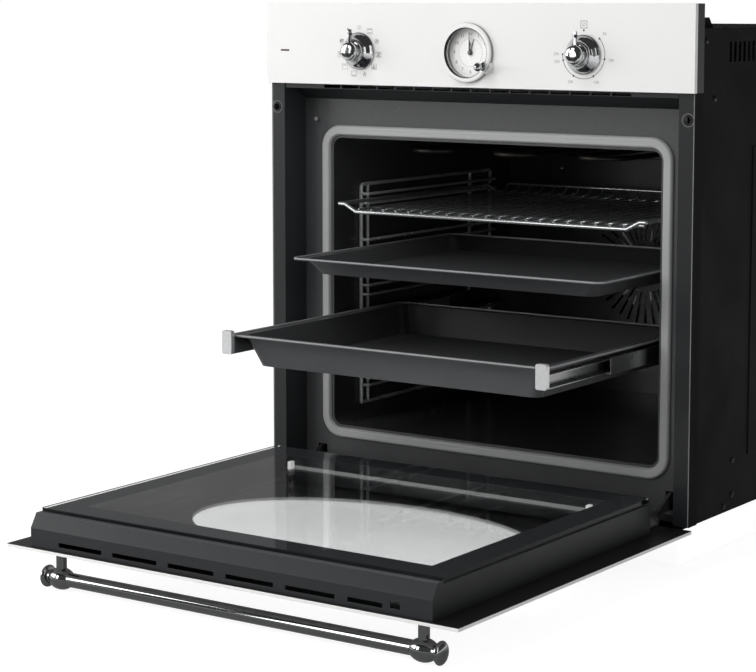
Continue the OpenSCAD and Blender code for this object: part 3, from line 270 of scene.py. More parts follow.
class Finish:
    """One material with its Principled shader."""

    def __init__(self, name, **fixed):
        self.material = bpy.data.materials.new(name)
        self.material.use_nodes = True
        self.tree = self.material.node_tree
        self.tree.nodes.clear()
        self.shader = put(self.tree, "ShaderNodeBsdfPrincipled", {k.replace("_", " "): v for k, v in fixed.items()})
        self.out = put(self.tree, "ShaderNodeOutputMaterial", {"Surface": self.shader.outputs[0]})

    def link(self, socket, name):
        self.tree.links.new(socket, self.shader.inputs[name])

    def paint(self, colour):
        self.link(colour, "Base Color")

    def mix(self, share, a, b):
        """A colour between two: share is a number or a socket."""
        return put(self.tree, "ShaderNodeMix", {0: share, 6: a, 7: b}, data_type="RGBA").outputs[2]

    def tint(self, mask, colour):
        """Lays a colour over the finish where the mask is 1."""
        self.paint(self.mix(mask, self.shader.inputs["Base Color"].links[0].from_socket, colour))

    def wear(self, low, high, scale):
        """Lets the roughness drift between two values, and gives the same patches as a mask."""
        marks = use(self.tree, "marks", Low=low, High=high, Scale=scale)
        self.link(marks["Roughness"], "Roughness")
        return marks["Patch"]

    def bump(self, height, strength, distance, normal=None):
        ins = {"Height": height, "Strength": strength, "Distance": distance}
        if normal is not None:
            ins["Normal"] = normal
        self.link(put(self.tree, "ShaderNodeBump", ins).outputs[0], "Normal")

    def done(self):
        arrange(self.tree)
        return self.material


def rgba(colour, gain=1.0):
    """A colour with its alpha, brighter or dimmer by gain."""
    return (*(min(1.0, c * gain) for c in colour), 1.0)


def coated(name, colour, low, high, wave=0.5, peel=0.2, flecks=None, edge=0.0006, gain=1.5, strength=0.3,
           distance=0.00012, vary=0.1, **fixed):
    """Enamel or paint on sheet steel: patchy sheen, a slight wave, thin pale edges, and flecks where wanted."""
    f = Finish(name, **fixed)
    patch = f.wear(low, high, 7.0)
    soft = use(f.tree, "edge", Radius=edge)
    tone = f.mix(patch, rgba(colour, 1 - vary), rgba(colour, 1 + vary))
    tone = f.mix(soft["Edge"], tone, rgba(colour, gain))
    if flecks:
        density, share, size, speck = flecks
        tone = f.mix(use(f.tree, "flecks", Density=density, Share=share, Size=size)["Mask"], tone, (*speck, 1))
    f.paint(tone)
    f.bump(use(f.tree, "coat", Wave=wave, Peel=peel)["Height"], strength, distance, soft["Normal"])
    return f


def metal(name, colour, low, high, stretch, scale, depth=0.00002, streak=0.12, edge=None, metallic=1.0):
    """Bare or plated metal with drawn streaks along its own run."""
    f = Finish(name, Metallic=metallic)
    f.wear(low, high, 6.0)
    grain = use(f.tree, "grain", Stretch=stretch, Scale=scale)["Streak"]
    f.paint(f.mix(grain, rgba(colour, 1 - streak), rgba(colour, 1 + streak)))
    f.bump(grain, 0.4, depth, use(f.tree, "edge", Radius=edge)["Normal"] if edge else None)
    return f


def pane(name, tint, ior, shade=0.85, rim=0.0):
    """Glass that lets the light on what is behind it through; rim 1 darkens its cut edges."""
    f = Finish(name, Transmission_Weight=1.0, IOR=ior)
    upright = maths(f.tree, "LESS_THAN", maths(f.tree, "ABSOLUTE", coordinate(f.tree, "Normal", "Z")), 0.5 * rim)
    f.paint(f.mix(upright, rgba(tint), (0.03, 0.034, 0.034, 1)))
    f.wear(0.012, 0.035, 11.0)
    ray = put(f.tree, "ShaderNodeLightPath")
    through = put(f.tree, "ShaderNodeBsdfTransparent", {"Color": rgba([shade * c for c in tint])})
    both = put(f.tree, "ShaderNodeMixShader", {0: ray.outputs["Is Shadow Ray"], 1: f.shader.outputs[0],
                                               2: through.outputs[0]})
    f.tree.links.new(both.outputs[0], f.out.inputs["Surface"])
    return f.done()


def plain(name, dark, light, low, high, **fixed):
    """Moulded plastic or ink: two close tones, a fine peel."""
    f = Finish(name, **fixed)
    f.paint(f.mix(f.wear(low, high, 30.0), (*dark, 1), (*light, 1)))
    f.bump(use(f.tree, "coat", Wave=0.2, Peel=0.3)["Height"], 0.25, 0.00005)
    return f.done()


PALE_ENAMEL = dict(low=0.29, high=0.296, wave=0.2, peel=0.12, gain=0.96, strength=0.08, distance=0.00008, edge=0.0005,
                   vary=0.015, Specular_IOR_Level=0.3)
DARK_FLECKS = (820.0, 0.16, 0.27, (0.19, 0.2, 0.21))
SATIN_PAINT = dict(low=0.34, high=0.46, wave=0.3, peel=0.5, flecks=(1500.0, 0.1, 0.3, (0.05, 0.053, 0.056)), gain=2.2,
                   strength=0.35, distance=0.00006, edge=0.0007, Specular_IOR_Level=0.35)
COAT_THICKNESS = 0.6 * MM
# Sizes at the clock ring: its lip, its inner wall, and the half width of the painted shadow line round its foot
BEZEL_LIP, BEZEL_WALL, FOOT_SHADOW_LINE = 2 * MM, 0.9 * MM, 0.4 * MM
# Depth of the door frame's border under the glass that gets the paler painted light
GLASS_BORDER = 0.3 * MM
# Widths, in from the front frame's outer side, of the painted shade on its side returns and of the painted highlight
# along its front's side edges
RETURN_SHADE_WIDTH, EDGE_HIGHLIGHT_WIDTH = 0.5 * MM, 1.7 * MM


def door_front(look):
    """The outer panel: ivory enamel on the front, black on the back."""
    f = coated("Door front enamel", look.fascia, **PALE_ENAMEL)
    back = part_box("door_outer_panel")[1].z - COAT_THICKNESS
    f.tint(maths(f.tree, "GREATER_THAN", coordinate(f.tree, axis="Z"), back), (0.011, 0.0112, 0.012, 1))
    return f.done()


def bezel(look):
    """The clock's ring: ivory outside, with a dark drawn wall inside it and a grey painted shadow line round its foot.
    """
    f = coated("Clock ring enamel", look.fascia, 0.24, 0.32, wave=0.3, peel=0.1, gain=0.97, strength=0.2,
               distance=0.00005, edge=0.0004, vary=0.015, Specular_IOR_Level=0.3)
    lo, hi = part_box("clock_bezel")
    apart = vector(f.tree, "SUBTRACT", coordinate(f.tree), (0.0, 0.0, DIAL_Z))
    radius = vector(f.tree, "LENGTH", vector(f.tree, "MULTIPLY", apart, (1.0, 0.0, 1.0)))
    off = maths(f.tree, "ABSOLUTE", maths(f.tree, "SUBTRACT", radius, hi.x))
    # Painted shadow: a grey line where the ring's foot meets the fascia
    f.tint(maths(f.tree, "LESS_THAN", off, FOOT_SHADOW_LINE), (0.28, 0.28, 0.28, 1))
    depth = ramp(f.tree, coordinate(f.tree, axis="Y"), lo.y + BEZEL_LIP, DIAL_Y)
    wall = f.mix(depth, (0.004, 0.004, 0.004, 1), (0.3, 0.3, 0.3, 1))
    f.tint(maths(f.tree, "LESS_THAN", radius, DIAL_R + BEZEL_WALL), wall)
    return f.done()


def tray_enamel(look):
    """The trays' enamel, darker on the inside of the back wall, which the rest of the tray shades."""
    f = coated("Tray enamel", [1.7 * c for c in look.enamel], 0.34, 0.44, wave=0.9, peel=0.3,
               flecks=(900.0, 0.12, 0.24, (0.16, 0.165, 0.17)), gain=1.7, strength=0.45, distance=0.00014, edge=0.001,
               Specular_IOR_Level=0.22)
    forwards = ramp(f.tree, coordinate(f.tree, "Normal", "Y"), -0.3, -0.7)
    inside = maths(f.tree, "GREATER_THAN", coordinate(f.tree, "Normal", "Z"), 0.05)
    f.tint(maths(f.tree, "MULTIPLY", forwards, inside), rgba(look.enamel, 0.45))
    return f.done()


def door_paint(look):
    """The door frame's paint; the border that lies under the glass is painted paler, painted light that makes up for
    what the glass holds back.
    """
    f = coated("Door frame paint", look.paint, **SATIN_PAINT)
    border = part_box("door_frame")[1].z - GLASS_BORDER
    # Painted light: the same paint, 4.5 times paler, on the border under the glass
    f.tint(maths(f.tree, "GREATER_THAN", coordinate(f.tree, axis="Z"), border), rgba(look.paint, 4.5))
    return f.done()


def front_paint(look):
    """The front frame's paint: painted shade, nearly black, on the side returns, painted light on the faces that look
    sideways, and a pale painted highlight along the front's side edges.
    """
    f = coated("Front frame paint", [0.72 * c for c in look.paint], **{**SATIN_PAINT, "gain": 1.6, "edge": 0.0005})
    across = maths(f.tree, "ABSOLUTE", coordinate(f.tree, axis="X"))
    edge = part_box("front_frame")[1].x
    return_shade = maths(f.tree, "GREATER_THAN", across, edge - RETURN_SHADE_WIDTH)
    sideways = maths(f.tree, "ABSOLUTE", coordinate(f.tree, "Normal", "X"))
    # Painted light: faces that look sideways are painted paler than the front
    f.tint(maths(f.tree, "GREATER_THAN", sideways, 0.7), rgba(look.paint, 2.0))
    # Painted highlight: a pale band along the outer side edges of the front
    f.tint(maths(f.tree, "GREATER_THAN", across, edge - EDGE_HIGHLIGHT_WIDTH), (0.2, 0.205, 0.21, 1))
    # Painted shade: the side returns nearly black, and rough so that they shine less
    f.tint(return_shade, (0.002, 0.002, 0.002, 1))
    sheen = f.shader.inputs["Roughness"].links[0].from_socket
    f.link(maths(f.tree, "MAXIMUM", sheen, return_shade), "Roughness")
    return f.done()


def zinc():
    """Galvanised sheet with its crystal spangle."""
    f = Finish("Galvanised sheet", Metallic=1.0)
    cells = put(f.tree, "ShaderNodeTexVoronoi", {"Vector": coordinate(f.tree), "Scale": 75.0, "Randomness": 1.0})
    flat = put(f.tree, "ShaderNodeSeparateColor", {"Color": cells.outputs["Color"]}).outputs
    f.paint(f.mix(maths(f.tree, "MULTIPLY_ADD", flat["Red"], 0.6, 0.1), (0.4, 0.415, 0.43, 1), (0.56, 0.57, 0.58, 1)))
    f.link(ramp(f.tree, flat["Green"], 0.0, 1.0, 0.32, 0.5), "Roughness")
    patch = use(f.tree, "marks", Low=0.0, High=1.0, Scale=30.0)["Patch"]
    f.bump(patch, 0.25, 0.00006, use(f.tree, "edge", Radius=0.0006)["Normal"])
    return f.done()


def wool():
    """Yellow glass wool."""
    f = Finish("Glass wool", Roughness=0.95)
    tuft = noise(f.tree, 70.0, 8.0, Roughness=0.7, Distortion=1.5)
    f.paint(f.mix(tuft, (0.42, 0.36, 0.2, 1), (0.72, 0.66, 0.45, 1)))
    f.bump(tuft, 0.9, 0.002)
    return f.done()


def gasket_rubber(look):
    """Silicone seal with the faint ribs of the braid under it."""
    f = Finish("Seal rubber")
    ribs = stripes(f.tree, 260.0, "DIAGONAL", Distortion=1.2, Detail=1.0)
    tone = f.mix(f.wear(0.42, 0.58, 14.0), rgba(look.gasket, 0.86), rgba(look.gasket, 1.14))
    f.paint(f.mix(ribs, tone, rgba(look.gasket, 0.9)))
    f.bump(ribs, 0.25, 0.0001)
    return f.done()


def motor_iron():
    """Stacked motor sheets: thin lines across the core."""
    f = Finish("Motor core", Metallic=0.9)
    sheets = stripes(f.tree, 220.0, "Y", Distortion=0.3)
    f.paint(f.mix(sheets, (0.1, 0.095, 0.09, 1), (0.2, 0.19, 0.18, 1)))
    f.wear(0.4, 0.6, 25.0)
    f.bump(sheets, 0.5, 0.0002)
    return f.done()


def heater():
    """Heating tube, browned by its own heat."""
    f = Finish("Heater tube", Metallic=0.85)
    patch = f.wear(0.34, 0.5, 18.0)
    f.paint(f.mix(patch, (0.025, 0.023, 0.0215, 1), (0.06, 0.053, 0.046, 1)))
    f.bump(patch, 0.2, 0.0001)
    return f.done()


def ceramic():
    """Unglazed lamp holder."""
    f = Finish("Lamp ceramic")
    f.paint(f.mix(f.wear(0.35, 0.5, 40.0), (0.62, 0.59, 0.52, 1), (0.76, 0.73, 0.67, 1)))
    return f.done()


EVEN, LENGTHWISE = (1.0, 1.0, 1.0), (1.0, 0.04, 1.0)
POLISHED = dict(streak=0.03, depth=0.000004)


def black_chrome():
    """The handle's chrome with painted reflections: a dark tone that stands for the dark room it mirrors, and a
    painted highlight line where it faces the windows.
    """
    f = metal("Chrome with painted reflections", (0.17, 0.173, 0.177), 0.035, 0.08, EVEN, 60.0, **POLISHED)
    # Painted highlight: a pale band on the faces that look up towards the windows
    away = maths(f.tree, "ABSOLUTE", maths(f.tree, "SUBTRACT", coordinate(f.tree, "Normal", "Z"), 0.33))
    f.tint(ramp(f.tree, away, 0.12, 0.24, 1.0, 0.0), (0.6, 0.605, 0.61, 1))
    return f.done()


METALS = {
    "chrome_wire": (("Chromed wire", (0.8, 0.81, 0.82), 0.2, 0.32, EVEN, 500.0), dict(streak=0.1, metallic=0.6)),
    "rack_chrome": (("Rack chrome", (0.7, 0.71, 0.72), 0.12, 0.2, EVEN, 500.0), dict(streak=0.1, metallic=0.85)),
    "rail_steel": (("Rail steel", (0.4, 0.405, 0.41), 0.24, 0.38, LENGTHWISE, 900.0), dict(edge=0.0004)),
    "rail_dark": (("Rail steel in shade", (0.12, 0.122, 0.125), 0.3, 0.42, LENGTHWISE, 900.0), dict(edge=0.0004)),
    "cap_silver": (("Satin silver", (0.75, 0.755, 0.76), 0.28, 0.36, EVEN, 300.0), dict(metallic=0.6)),
    "pointer_chrome": (("Pointer chrome", (0.3, 0.305, 0.31), 0.05, 0.1, EVEN, 60.0), POLISHED),
    "shaft_steel": (("Turned steel", (0.55, 0.55, 0.55), 0.2, 0.32, (0.3, 1.0, 0.3), 1500.0), {}),
    "blade_aluminium": (("Blade aluminium", (0.66, 0.66, 0.66), 0.28, 0.4, (1.0, 1.0, 0.1), 700.0), {}),
    "brass_body": (("Brass", (0.62, 0.47, 0.22), 0.25, 0.42, EVEN, 300.0), {}),
}
WHITE = (1.0, 1.0, 1.0, 1.0)
PLASTICS = {
    "lens_plastic": (("Red lens", (0.03, 0.004, 0.004), (0.05, 0.006, 0.006), 0.12, 0.2), {}),
    "switch_plastic": (("Natural nylon", (0.6, 0.58, 0.52), (0.7, 0.68, 0.62), 0.4, 0.52), {}),
    "black_plastic": (("Black plastic", (0.012, 0.012, 0.013), (0.02, 0.02, 0.021), 0.38, 0.5), {}),
    "dial_white": (("Dial paint", (0.84, 0.835, 0.82), (0.87, 0.865, 0.85), 0.4, 0.5), {}),
    "hand_black": (("Hand lacquer", (0.11, 0.11, 0.11), (0.15, 0.15, 0.15), 0.3, 0.4), {}),
    # Painted light: the glass edge strip glows to give a pale streak in the door's glass
    "pane_edge": (("Glass edge strip with painted glow", (0.3, 0.31, 0.31), (0.34, 0.35, 0.35), 0.4, 0.5),
                  dict(Emission_Color=WHITE, Emission_Strength=0.13)),
    # Painted light: the clips glow so that they show pale
    "clip_plastic": (("Clear clip with painted glow", (0.8, 0.8, 0.79), (0.86, 0.86, 0.85), 0.3, 0.4),
                     dict(Emission_Color=WHITE, Emission_Strength=0.6)),
    "ring_line": (("Pale collar rim line", (0.16, 0.165, 0.17), (0.22, 0.225, 0.23), 0.3, 0.4), {}),
    "pin_plastic": (("Pin plastic", (0.2, 0.2, 0.195), (0.26, 0.26, 0.25), 0.4, 0.52), {}),
    "ink_pale": (("Pale printing ink", (0.3, 0.29, 0.27), (0.34, 0.33, 0.31), 0.4, 0.5), {}),
    "ink_numeral": (("Numeral ink", (0.14, 0.14, 0.137), (0.18, 0.18, 0.176), 0.4, 0.5), {}),
    "screw_black": (("Blacked screw", (0.018, 0.018, 0.018), (0.03, 0.03, 0.03), 0.3, 0.42), dict(Metallic=0.6)),
}
MATERIALS = {}


def finishes():
    """Every finish of the oven, by the name of its material slot."""
    if MATERIALS:
        return MATERIALS
    look = bpy.context.scene.oven_finish
    MATERIALS.update(
        ivory_enamel=coated("Ivory enamel", look.fascia, **PALE_ENAMEL).done(),
        door_enamel=door_front(look), ring_enamel=bezel(look), tray_enamel=tray_enamel(look),
        dark_enamel=coated("Dark fleck enamel", look.enamel, 0.17, 0.27, wave=0.7, peel=0.35, flecks=DARK_FLECKS,
                           gain=2.2, strength=0.4, edge=0.0008).done(),
        face_enamel=coated("Face enamel", [1.36 * c for c in look.enamel], 0.3, 0.4, wave=0.4, peel=0.35,
                           flecks=DARK_FLECKS, gain=1.6, strength=0.35, distance=0.0001, edge=0.0008).done(),
        # Painted highlight: the rolled rim in a pale grey, far lighter than the trays' dark enamel
        tray_rim=coated("Tray rim enamel, painted highlight", (0.3, 0.305, 0.31), 0.2, 0.3, wave=0.4, peel=0.3, gain=1.3,
                        distance=0.0001, edge=0.0004).done(),
        dark_paint=coated("Satin black paint", look.paint, **SATIN_PAINT).done(),
        front_paint=front_paint(look), door_paint=door_paint(look),
        casing_sheet=coated("Black powder coat", look.casing, 0.6, 0.75, wave=0.2, peel=0.9,
                            flecks=(1300.0, 0.12, 0.3, (0.018, 0.018, 0.0185)), gain=2.4, strength=0.5, edge=0.0009,
                            Specular_IOR_Level=0.08).done(),
        zinc_sheet=zinc(), wool=wool(), gasket_rubber=gasket_rubber(look), heater_tube=heater(),
        lamp_ceramic=ceramic(), motor_iron=motor_iron(), black_chrome=black_chrome(),
        chrome=metal("Bright chrome", look.chrome, 0.06, 0.12, EVEN, 60.0, **POLISHED).done(),
        clear_glass=pane("Clear glass", (0.995, 0.995, 0.995), 1.2, 1.0),
        tinted_glass=pane("Door glass", look.glass, 1.3, rim=1.0),
        window_glass=pane("Window glass", (0.98, 0.985, 0.985), 1.05),
        ink=plain("Printing ink", look.print_ink, [1.2 * c for c in look.print_ink], 0.4, 0.5),
    )
    MATERIALS.update({name: metal(*row, **more).done() for name, (row, more) in METALS.items()})
    MATERIALS.update({name: plain(*row, **more) for name, (row, more) in PLASTICS.items()})
    return MATERIALS


OWN_FINISH = {"door_outer_panel": "door_enamel", "door_window_glass": "window_glass", "shallow_tray": "tray_enamel",
              "deep_tray": "tray_enamel", "clock_bezel": "ring_enamel", "door_switch_pin": "pin_plastic",
              "rail_channels": "rail_dark", "wire_rack": "rack_chrome", "rail_caps": "cap_silver",
              "front_frame": "front_paint", "cavity_face": "face_enamel", "door_frame": "door_paint",
              "handle_bar": "black_chrome", "handle_posts": "black_chrome"}


# Meshes

def add_object(name, data):
    made = bpy.data.objects.new(name, data)
    bpy.context.scene.collection.objects.link(made)
    return made


def add_piece(name, bm, finish, body, smooth=35):
    """Makes a piece from its mesh, closed and facing outwards, and lets it ride on its body."""
    bmesh.ops.remove_doubles(bm, verts=bm.verts, dist=1e-6)
    bmesh.ops.recalc_face_normals(bm, faces=bm.faces)
    for face in bm.faces:
        face.smooth = smooth > 0
    for edge in bm.edges:
        if len(edge.link_faces) == 2:
            edge.smooth = edge.calc_face_angle(0) < math.radians(smooth)
    mesh = bpy.data.meshes.new(name)
    bm.to_mesh(mesh)
    bm.free()
    mesh.materials.append(finishes()[finish])
    return place_piece(name, mesh, body)


def place_piece(name, mesh, body):
    """Lets a finished mesh ride on its body."""
    piece = add_object(name, mesh)
    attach(piece, body)
    return piece


def facing_front(x, z, y):
    """Turns a flat drawing (x across, y up) to face forwards, at a point of a panel."""
    return Matrix.Translation((x, y, z)) @ Matrix.Rotation(math.radians(90), 4, "X")


def polar(radius, angle):
    """A point at an angle in degrees, clockwise from the top."""
    return radius * math.sin(math.radians(angle)), radius * math.cos(math.radians(angle))


class Ink:
    """Thin printed shapes on a flat panel, drawn in its own plane."""
    DIGIT_SHARE = 0.69  # of the font's size
    SWEEP = Vector((1.0, 1.618, 2.414))

    def __init__(self):
        self.bm = bmesh.new()

    def shape(self, points):
        self.bm.faces.new([self.bm.verts.new((x, y, 0)) for x, y in points])

    def line(self, a, b, width):
        d = (Vector(b) - Vector(a)).normalized() * width / 2
        n = Vector((-d.y, d.x))
        a, b = Vector(a) - d, Vector(b) + d
        self.shape([a - n, b - n, b + n, a + n])

    def lines(self, points, width):
        for a, b in zip(points, points[1:]):
            self.line(a, b, width)

    def arc(self, centre, radius, width, start=0, end=360, steps=40):
        """A band from start to end, in degrees clockwise from the top."""
        around = [start + (end - start) * i / steps for i in range(steps + 1)]
        for a, b in zip(around, around[1:]):
            corners = [polar(radius + off / 2, angle) for angle, off in ((a, -width), (b, -width), (b, width),
                                                                         (a, width))]
            self.shape([(centre[0] + x, centre[1] + y) for x, y in corners])

    def dot(self, centre, radius, steps=18):
        self.shape([(centre[0] + radius * math.cos(2 * math.pi * i / steps),
                     centre[1] + radius * math.sin(2 * math.pi * i / steps)) for i in range(steps)])

    def text(self, words, centre, height):
        curve = bpy.data.curves.new("words", "FONT")
        curve.body, curve.size = words, height / self.DIGIT_SHARE
        curve.align_x, curve.align_y = "CENTER", "CENTER"
        curve.resolution_u = 3
        holder = add_object("words", curve)
        bpy.context.view_layer.update()
        mesh = bpy.data.meshes.new_from_object(holder)
        mesh.transform(Matrix.Translation((*centre, 0)))
        self.bm.from_mesh(mesh)
        bpy.data.objects.remove(holder)
        bpy.data.curves.remove(curve)
        bpy.data.meshes.remove(mesh)

    def printed(self, name, matrix, thickness, finish):
        """Gives the print its thickness, sets it on its panel and makes it a piece."""
        bm = self.bm
        bmesh.ops.remove_doubles(bm, verts=bm.verts, dist=1e-7)
        for face in bm.faces:
            if face.normal.z < 0:
                face.normal_flip()
        made = bmesh.ops.extrude_face_region(bm, geom=bm.faces[:])
        raised = [v for v in made["geom"] if isinstance(v, bmesh.types.BMVert)]
        bmesh.ops.translate(bm, verts=raised, vec=(0, 0, thickness))
        # The extrusion leaves its points and faces in no set order, so both are put in order along a slanted line
        bm.verts.sort(key=lambda v: v.co.dot(self.SWEEP))
        bm.faces.sort(key=lambda f: f.calc_center_median().dot(self.SWEEP))
        bm.transform(matrix)
        return add_piece(name, bm, finish, "oven", 0)


def lathe(bm, profile, centre, steps=96):
    """Turns a profile of (radius, height) points round a line that runs forwards from centre."""
    rings = []
    for radius, height in profile:
        y = centre[1] - height
        if radius < 1e-7:
            rings.append([bm.verts.new((centre[0], y, centre[2]))])
        else:
            rings.append([bm.verts.new((centre[0] + radius * math.cos(2 * math.pi * i / steps), y,
                                        centre[2] + radius * math.sin(2 * math.pi * i / steps)))
                          for i in range(steps)])
    for low, high in zip(rings, rings[1:]):
        for i in range(steps):
            j = (i + 1) % steps
            ring = [low[i % len(low)], low[j % len(low)], high[j % len(high)], high[i % len(high)]]
            unique = list(dict.fromkeys(ring))
            if len(unique) > 2:
                bm.faces.new(unique)


def rounded(points, corner, steps):
    """A profile with its inner corners rounded."""
    points = [Vector(p) for p in points]
    out = [points[0]]
    for a, b, c in zip(points, points[1:], points[2:]):
        r = min(corner, (a - b).length * 0.45, (c - b).length * 0.45)
        start, end = b + (a - b).normalized() * r, b + (c - b).normalized() * r
        for i in range(steps + 1):
            t = i / steps
            out.append(start * (1 - t) ** 2 + b * 2 * t * (1 - t) + end * t * t)
    out.append(points[-1])
    return [(p.x, p.y) for p in out]


def block(bm, lo, hi, round_off=0.0):
    """Adds a box between two corners, with its edges rounded off where wanted."""
    made = bmesh.ops.create_cube(bm, size=1.0)
    size = Vector(hi) - Vector(lo)
    bmesh.ops.scale(bm, verts=made["verts"], vec=size)
    bmesh.ops.translate(bm, verts=made["verts"], vec=Vector(lo) + size / 2)
    if round_off:
        edges = {edge for vert in made["verts"] for edge in vert.link_edges}
        bmesh.ops.bevel(bm, geom=list(edges), offset=round_off, segments=2, affect="EDGES")


def point_mesh(name, spots):
    """Points with the direction that each one faces."""
    mesh = bpy.data.meshes.new(name)
    mesh.from_pydata([p for p, _ in spots], [], [])
    facing = mesh.attributes.new("facing", "FLOAT_VECTOR", "POINT")
    facing.data.foreach_set("vector", [c for _, n in spots for c in n])
    return mesh


def line_mesh(name, paths):
    """Open polylines as loose edges."""
    mesh = bpy.data.meshes.new(name)
    points, edges = [], []
    for path in paths:
        edges += [(len(points) + i, len(points) + i + 1) for i in range(len(path) - 1)]
        points += path
    mesh.from_pydata(points, edges, [])
    return mesh


def loop_mesh(name, ring):
    """One closed polyline."""
    mesh = bpy.data.meshes.new(name)
    mesh.from_pydata(ring, [(i, (i + 1) % len(ring)) for i in range(len(ring))], [])
    return mesh


# Geometry nodes

GEOMETRY = "NodeSocketGeometry"


def open_tree(name, ins):
    """A tree that starts from a mesh and ends as one plain mesh with one material."""
    return open_group(name, {"Geometry": GEOMETRY, **ins, "Material": "NodeSocketMaterial"}, {"Geometry": GEOMETRY},
                      "GeometryNodeTree")


def close_tree(tree, given, shape, smooth=False):
    """Makes the tree's copies real, shades them smooth where wanted, and gives them their material."""
    made = put(tree, "GeometryNodeRealizeInstances", {"Geometry": shape})
    if smooth:
        made = put(tree, "GeometryNodeSetShadeSmooth", {"Geometry": made.outputs[0]})
    made = put(tree, "GeometryNodeSetMaterial", {"Geometry": made.outputs[0], "Material": given["Material"]})
    return close_group(tree, Geometry=made.outputs[0])


def moved(tree, shape, **how):
    """A shape moved, turned or scaled."""
    return put(tree, "GeometryNodeTransform", {"Geometry": shape, **how}).outputs[0]


def onto_front(tree, shape, middle):
    """Stands a flat shape up to face forwards, round a middle."""
    return moved(tree, moved(tree, shape, Rotation=(math.pi / 2, 0.0, 0.0)), Translation=middle)


def copies(tree, source, shape, rotation):
    """One copy of a shape on each point of a mesh."""
    points = put(tree, "GeometryNodeMeshToPoints", {"Mesh": source})
    return put(tree, "GeometryNodeInstanceOnPoints", {"Points": points.outputs[0], "Instance": shape,
                                                      "Rotation": rotation}).outputs[0]


def bent(tree, path, radius, count):
    """A path with its corners bent."""
    return put(tree, "GeometryNodeFilletCurve", {"Curve": path, "Radius": radius, "Limit Radius": True,
                                                 "Count": count}, mode="POLY").outputs[0]


def xyz(tree, *values):
    return put(tree, "ShaderNodeCombineXYZ", dict(enumerate(values))).outputs[0]


SLOT_WIDTH, SLOT_DEPTH = 0.7 * MM, 2.4 * MM


def screw_tree():
    """Pan-head screws with a cross recess, one on each point, facing along the point's own direction."""
    tree, given = open_tree("Screws on points", {"Head": 0.007, "Rise": 0.0022, "Recess": 0.0038, "Seed": 5})
    radius = maths(tree, "MULTIPLY", given["Head"], 0.5)
    ball = put(tree, "GeometryNodeMeshUVSphere", {"Segments": 24, "Rings": 12, "Radius": 1.0})
    dome = moved(tree, ball.outputs["Mesh"], Scale=xyz(tree, radius, radius, given["Rise"]))
    bar = put(tree, "GeometryNodeMeshCube", {"Size": xyz(tree, given["Recess"], SLOT_WIDTH, SLOT_DEPTH)}).outputs[0]
    top = xyz(tree, 0.0, 0.0, given["Rise"])
    cut = put(tree, "GeometryNodeMeshBoolean", {"Mesh 1": dome}, operation="DIFFERENCE")
    for turn in (0.0, math.pi / 2):
        tree.links.new(moved(tree, bar, Translation=top, Rotation=(0.0, 0.0, turn)), cut.inputs["Mesh 2"])
    facing = put(tree, "GeometryNodeInputNamedAttribute", {"Name": "facing"}, data_type="FLOAT_VECTOR")
    align = put(tree, "FunctionNodeAlignRotationToVector", {"Vector": facing.outputs[0]}, axis="Z")
    turn = put(tree, "FunctionNodeRandomValue", {"Seed": given["Seed"], 3: math.pi / 2}, data_type="FLOAT")
    spin = put(tree, "FunctionNodeAxisAngleToRotation", {"Axis": (0.0, 0.0, 1.0), "Angle": turn.outputs[1]})
    both = put(tree, "FunctionNodeRotateRotation", {"Rotation": align.outputs[0], "Rotate By": spin.outputs[0]},
               rotation_space="LOCAL")
    spread = copies(tree, given["Geometry"], cut.outputs["Mesh"], both.outputs[0])
    return close_tree(tree, given, spread)


def wire_tree():
    """Round wire along polylines, with bent corners."""
    tree, given = open_tree("Bent wire", {"Diameter": 0.004, "Bend radius": 0.006, "Sides": 14})
    path = put(tree, "GeometryNodeMeshToCurve", {"Mesh": given["Geometry"]}).outputs[0]
    radius = maths(tree, "MULTIPLY", given["Diameter"], 0.5)
    ring = put(tree, "GeometryNodeCurvePrimitiveCircle", {"Resolution": given["Sides"], "Radius": radius})
    tube = put(tree, "GeometryNodeCurveToMesh", {"Curve": bent(tree, path, given["Bend radius"], 6),
                                                 "Profile Curve": ring.outputs[0], "Fill Caps": True})
    return close_tree(tree, given, tube.outputs[0], True)


def seal_tree():
    """A moulded seal swept round a rounded opening: a foot, a hollow and a raised lip."""
    tree, given = open_tree("Seal round an opening", {"Width": 0.48, "Height": 0.38, "Corner": 0.02,
                                                      "Middle": (0.0, 0.0, 0.0)})
    path = put(tree, "GeometryNodeCurvePrimitiveQuadrilateral", {"Width": given["Width"], "Height": given["Height"]})
    profile = put(tree, "GeometryNodeMeshToCurve", {"Mesh": given["Geometry"]})
    sweep = put(tree, "GeometryNodeCurveToMesh", {"Curve": bent(tree, path.outputs[0], given["Corner"], 16),
                                                  "Profile Curve": profile.outputs[0]})
    return close_tree(tree, given, onto_front(tree, sweep.outputs[0], given["Middle"]), True)


def dial_tree():
    """Short printed strokes round a dial."""
    tree, given = open_tree("Strokes round a dial", {"Count": 60, "Radius": 0.0165, "Length": 0.001, "Width": 0.00025,
                                                     "Thickness": 0.00006, "Middle": (0.0, 0.0, 0.0)})
    ring = put(tree, "GeometryNodeMeshCircle", {"Vertices": given["Count"], "Radius": given["Radius"]})
    size = xyz(tree, given["Length"], given["Width"], given["Thickness"])
    stroke = put(tree, "GeometryNodeMeshCube", {"Size": size})
    place = put(tree, "GeometryNodeInputPosition")
    align = put(tree, "FunctionNodeAlignRotationToVector", {"Vector": place.outputs[0]}, axis="X", pivot_axis="Z")
    spread = copies(tree, ring.outputs[0], stroke.outputs[0], align.outputs[0])
    return close_tree(tree, given, onto_front(tree, spread, given["Middle"]))


TREES = {}


